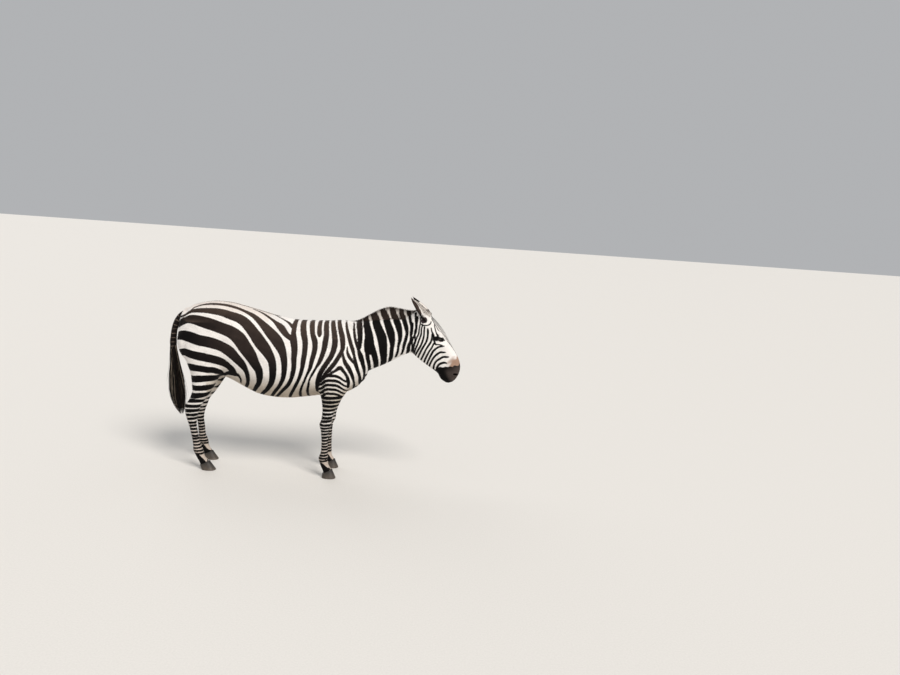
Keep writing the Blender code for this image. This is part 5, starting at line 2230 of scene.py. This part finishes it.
@dataclass(frozen=True)
class Eye:
    """An eyeball with its dark lids and lashes."""
    side: int
    iris: tuple[float, float] = (0.0150, 0.0140)        # half length and half height
    pupil: tuple[float, float] = (0.0062, 0.0034)
    lid: float = 0.0017                                 # half thickness, without the upper lid's extra
    lash_count: int = 90
    lash_radius: float = 0.00035
    ball_mesh: tuple[int, int] = (40, 56)               # rows and columns of the eyeball
    lid_mesh: tuple[int, int] = (72, 14)                # steps round the eye and round its rim
    slack: float = 0.0006                               # between the eyeball and the lids

    @functools.cached_property
    def name(self) -> str:
        """Left or right."""
        return "left" if self.side > 0 else "right"

    def place(self, offset: Array) -> Array:
        """Offsets from the left eye's middle in the head's frame, as places on this side."""
        return HEAD_PLACE.world((EYE_CENTRE + offset) * (1.0, float(self.side), 1.0))

    def tilted(self, spots: Array) -> Array:
        """Places given along, out of and up the open eye, turned by its tilt and put in the world.

        Args:
            spots: places as along, out and up.

        Returns:
            The places, one in each row.
        """
        cos, sin = math.cos(EYE_TILT), math.sin(EYE_TILT)
        along, out, up = spots.reshape(-1, 3).T
        return self.place(xyz(along * cos - up * sin, out, up * cos + along * sin))

    def build(self, ball: EyeFinish, skin: PlainFinish) -> list[Thing]:
        """Make the eyeball, the lids and the lashes."""
        return [self.ball(ball.material()), self.lids(skin.material()), self.lashes(skin.material())]

    def ball(self, finish: Material) -> Thing:
        """The eyeball, with its pole looking sideways.

        Args:
            finish: the material.

        Returns:
            The eyeball.
        """
        rows, columns = self.ball_mesh
        polar = np.linspace(0.02, math.pi - 0.02, rows)[:, None]
        around = turns(columns)[None, :]
        offset = EYE_RADIUS * xyz(np.sin(polar) * np.cos(around), np.cos(polar),
                                  np.sin(polar) * np.sin(around)).reshape(-1, 3)
        thing = make_object(f"eyeball_{self.name}", self.place(offset),
                            barrel_faces(rows, columns, self.side < 0))
        along, up = eye_plane(EYE_CENTRE + offset)
        iris, pupil = (np.hypot(along / half[0], up / half[1]) for half in (self.iris, self.pupil))
        ring = np.where(pupil < 1.0, 0.28 * pupil, np.clip(iris, 0.28, 1.0))
        set_attribute(thing.data, "ring", np.where(offset[:, 1] > 0.0, ring, 1.0))
        thing.data.materials.append(finish)
        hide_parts(f"eye_{self.name}")
        return dress(thing)

    def outline(self, angle: Array) -> tuple[Array, Array, Array]:
        """The open eye's edge: along, up and out from the eyeball's middle.

        Args:
            angle: angles round the eye.

        Returns:
            The three measures for each angle.
        """
        along = (EYE_LONG + self.slack) * np.cos(angle)
        up = EYE_TALL * np.sin(angle) * np.where(np.sin(angle) > 0.0, 1.05, 0.85)
        up *= 1.0 - 0.12 * np.cos(angle) ** 2
        out = np.sqrt(np.maximum((EYE_RADIUS + self.slack) ** 2 - along ** 2 - up ** 2, 0.00002))
        return along, up, out

    def lids(self, finish: Material) -> Thing:
        """A soft rim round the eye, thicker above.

        Args:
            finish: the material.

        Returns:
            The lids.
        """
        rows, columns = self.lid_mesh
        angle = turns(rows)
        along, up, out = self.outline(angle)
        middle = xyz(along, out, up)
        away = unit(xyz(along / EYE_LONG ** 2, 0.0, up / EYE_TALL ** 2))
        thick = (self.lid + 0.0008 * smooth(-0.2, 0.6, np.sin(angle)))[:, None]
        turn = turns(columns)[None, :]
        ring = (away[:, None, :] * (0.0012 + thick * 1.3 * np.cos(turn))[..., None]
                + np.array((0.0, 1.0, 0.0)) * (thick * 0.85 * np.sin(turn))[..., None])
        corner = np.arange(rows * columns).reshape(rows, columns)
        ahead = np.roll(corner, -1, axis=0)
        faces = np.stack([corner, np.roll(corner, -1, axis=1), np.roll(ahead, -1, axis=1), ahead], axis=-1)
        faces = faces.reshape(-1, 4)[:, ::self.side].tolist()
        thing = make_object(f"lids_{self.name}", self.tilted(middle[:, None, :] + ring), faces)
        thing.data.materials.append(finish)
        return dress(thing)

    def lashes(self, finish: Material) -> Thing:
        """Lashes that stand out and down from the upper lid.

        Args:
            finish: the material.

        Returns:
            The lashes.
        """
        rng = np.random.default_rng(91)
        count = self.lash_count
        angle = np.sort(rng.uniform(0.35, 2.7, count))
        along, up, out = self.outline(angle)
        start = xyz(along, out + 0.0018, up + 0.0018)
        way = unit(xyz(0.5 * np.cos(angle) - 0.05, 1.0, 0.45 + 0.1 * rng.normal(size=count)))
        length = rng.uniform(0.006, 0.011, count)
        steps = np.linspace(0.0, 1.0, 5)[None, :, None]
        paths = start[:, None, :] + way[:, None, :] * length[:, None, None] * steps
        paths = paths + np.array((0.0, 0.0, -0.003)) * steps * (1.5 - steps)
        verts, faces = strands(self.tilted(paths).reshape(count, 5, 3), np.tile((1.0, 0.0, 0.3), (count, 1)),
                               self.lash_radius * np.ones((count, 1)) * (1.0, 0.9, 0.7, 0.5))
        thing = make_object(f"lashes_{self.name}", verts, faces.tolist())
        thing.data.materials.append(finish)
        return dress(thing)


@dataclass(frozen=True)
class HoofPiece:
    """A hoof: a D-shaped wall with growth rings that slopes in to the coronet."""
    limb: Limb
    rows: int = 44
    columns: int = 72
    growth_rings: int = 9
    ring_height: float = 0.0005
    taper: float = 0.015            # how much narrower each side is at the coronet

    def wall(self) -> Array:
        """The wall's places as rows of rings from the sole up.

        Returns:
            Places as (row, column, xyz).
        """
        hoof = HOOVES[self.limb.end]
        share = np.concatenate(([0.0, 0.004, 0.02], np.linspace(0.05, 1.0, self.rows - 3)))
        bevel = np.where(share < 0.05, -0.0030 * (1.0 - share / 0.05) ** 2, 0.0)
        rings = np.sin(share * 2.0 * math.pi * self.growth_rings + 0.8) * smooth(0.05, 0.2, share)
        grow = bevel + self.ring_height * rings + 0.0016 * np.exp(-((share - 0.93) / 0.045) ** 2)
        grow += -0.0020 * smooth(0.965, 1.0, share) - 0.0008
        heel = hoof.heel + share * (hoof.coronet_rear - hoof.heel)
        toe = hoof.toe + share * (hoof.coronet_front - hoof.toe)
        turn = turns(self.columns)
        side, ahead = (np.sign(value) * np.abs(value) ** 0.8 for value in (np.cos(turn), np.sin(turn)))
        half = (hoof.half - share * self.taper + grow)[:, None]
        x = ((heel + toe) / 2.0)[:, None] + ((toe - heel) / 2.0 + grow)[:, None] * ahead
        along = (x - heel[:, None]) / (toe - heel)[:, None]
        z = share[:, None] * (hoof.rear_height + along * (hoof.front_height - hoof.rear_height) - 0.0006)
        shift = float(self.limb.shift(np.array(0.0)))
        return xyz(x + shift, self.limb.side * LEG_Y + half * side, np.maximum(z, 0.0))

    def build(self, finish: HornFinish) -> Thing:
        """Make the wall, the sole and the top.

        Args:
            finish: the horn's look.

        Returns:
            The hoof.
        """
        verts, columns = self.wall().reshape(-1, 3), self.columns
        base = verts[:columns].mean(axis=0) + (0.0, 0.0, 0.003)
        middle = verts[-columns:].mean(axis=0) - (0.0, 0.0, 0.004)
        count, top = len(verts), len(verts) - columns
        low = [[(k + 1) % columns, k, count] for k in range(columns)]
        high = [[top + k, top + (k + 1) % columns, count + 1] for k in range(columns)]
        thing = make_object(f"horn_{self.limb.name()}", np.concatenate([verts, base[None], middle[None]]),
                            sheet_faces(self.rows, columns).tolist() + low + high)
        thing.data.materials.append(finish.material())
        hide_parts(f"hoof_{self.limb.name()}")
        return dress(thing)


# ---------------------------------------------------------------- the studio

@dataclass(frozen=True)
class Lamp:
    """A soft even lamp, far away, that shines from a direction."""
    name: str
    place: tuple[float, float, float]
    strength: float
    softness: float
    colour: str = "#ffffff"

    def build(self) -> None:
        """Hang the lamp and aim it."""
        data = bpy.data.lights.new(self.name, "SUN")
        data.angle, data.energy, data.color = math.radians(self.softness), self.strength, linear(self.colour)
        thing = bpy.data.objects.new(self.name, data)
        bpy.context.scene.collection.objects.link(thing)
        thing.matrix_world = looking(np.array(self.place), np.array((0.0, 0.0, 0.75)))


def looking(place: Array, target: Array) -> Matrix:
    """A pose at place whose -Z axis points at target.

    Args:
        place: where it stands.
        target: what it points at.

    Returns:
        The pose.
    """
    back = unit(place - target)
    right = unit(np.cross((0.0, 0.0, 1.0), back))
    return pose(place, right, np.cross(back, right), back)


def pose(place: Array, right: Array, up: Array, back: Array) -> Matrix:
    """A matrix from its three axes and place.

    Args:
        place: where it stands.
        right: its X axis.
        up: its Y axis.
        back: its Z axis.

    Returns:
        The pose.
    """
    rows = np.eye(4)
    rows[:3, :4] = np.stack([right, up, back, place], axis=1)
    return Matrix(rows.tolist())


@dataclass(frozen=True)
class Studio:
    """A plain pale floor, soft light and the camera."""
    eye: tuple[float, float, float] = (1.068, -5.771, 2.0)
    lens: float = 29.28
    sensor: float = 36.0
    pitch: float = math.radians(8.1)
    roll: float = math.radians(4.0)
    reach: float = 120.0            # of the floor
    lamps: tuple[Lamp, ...] = (Lamp("key", (3.0, -4.2, 6.0), 2.5, 26.0, "#fffaf4"),
                               Lamp("fill", (-4.0, 4.5, 5.0), 0.7, 50.0))

    def build(self) -> None:
        """Set the floor, world, lamps and camera."""
        corners = [(x * self.reach, y * self.reach, 0.0) for x, y in ((-1, -1), (1, -1), (1, 1), (-1, 1))]
        floor = make_object("floor", np.array(corners), [[0, 1, 2, 3]], False)
        floor.data.materials.append(PlainFinish("studio_floor", "#dedbd6", 0.9, 0.01, 0.0).material())
        world = bpy.data.worlds.new("studio")
        world.use_nodes = True
        adjust(world.node_tree.nodes["Background"], {"Color": (*linear("#f1f3f6"), 1.0), "Strength": 0.50})
        bpy.context.scene.world = world
        bpy.context.scene.view_settings.view_transform = "Standard"
        for lamp in self.lamps:
            lamp.build()
        self.camera()

    def camera(self) -> None:
        """Place the camera, pitched down and rolled."""
        data = bpy.data.cameras.new("camera")
        data.lens, data.sensor_width = self.lens, self.sensor
        thing = bpy.data.objects.new("camera", data)
        bpy.context.scene.collection.objects.link(thing)
        forward = np.array((0.0, math.cos(self.pitch), -math.sin(self.pitch)))
        level = np.array((1.0, 0.0, 0.0))
        rise = np.cross(level, forward)
        right = level * math.cos(self.roll) + rise * math.sin(self.roll)
        up = rise * math.cos(self.roll) - level * math.sin(self.roll)
        thing.matrix_world = pose(np.array(self.eye), right, up, -forward)
        bpy.context.scene.camera = thing


def main() -> None:
    """Build and dress every piece in order, and report each."""
    form = Form()
    markings = Markings(form, Ink(form))
    skin, surface = Hide(form, markings).build(HideFinish("striped_coat"))
    pieces = [skin, *Coat(form, surface, markings).build(HideFinish("striped_tufts", relief=0.10))]
    bristle = HideFinish("mane_bristle", roughness=0.6, fringe=0.002, relief=0.1)
    pieces += Mane(markings).build(bristle.material())
    pieces += Tail().build(HideFinish("dock_coat").material(),
                           HideFinish("tail_strands", roughness=0.5).material())
    ears = HideFinish("ear_coat").material()
    for side in (1, -1):
        pieces += Ear(side).build(ears)
        pieces += Eye(side).build(EyeFinish(), PlainFinish("lid_skin", "#0c0908", 0.60, gloss=0.14))
    pieces += [HoofPiece(limb).build(HornFinish()) for limb in form.limbs]
    Studio().build()
    for piece in pieces:
        triangles = sum(len(polygon.vertices) - 2 for polygon in piece.data.polygons)
        LOG.info("%s: %d triangles", piece.name, triangles)


if __name__ == "__main__":
    main()
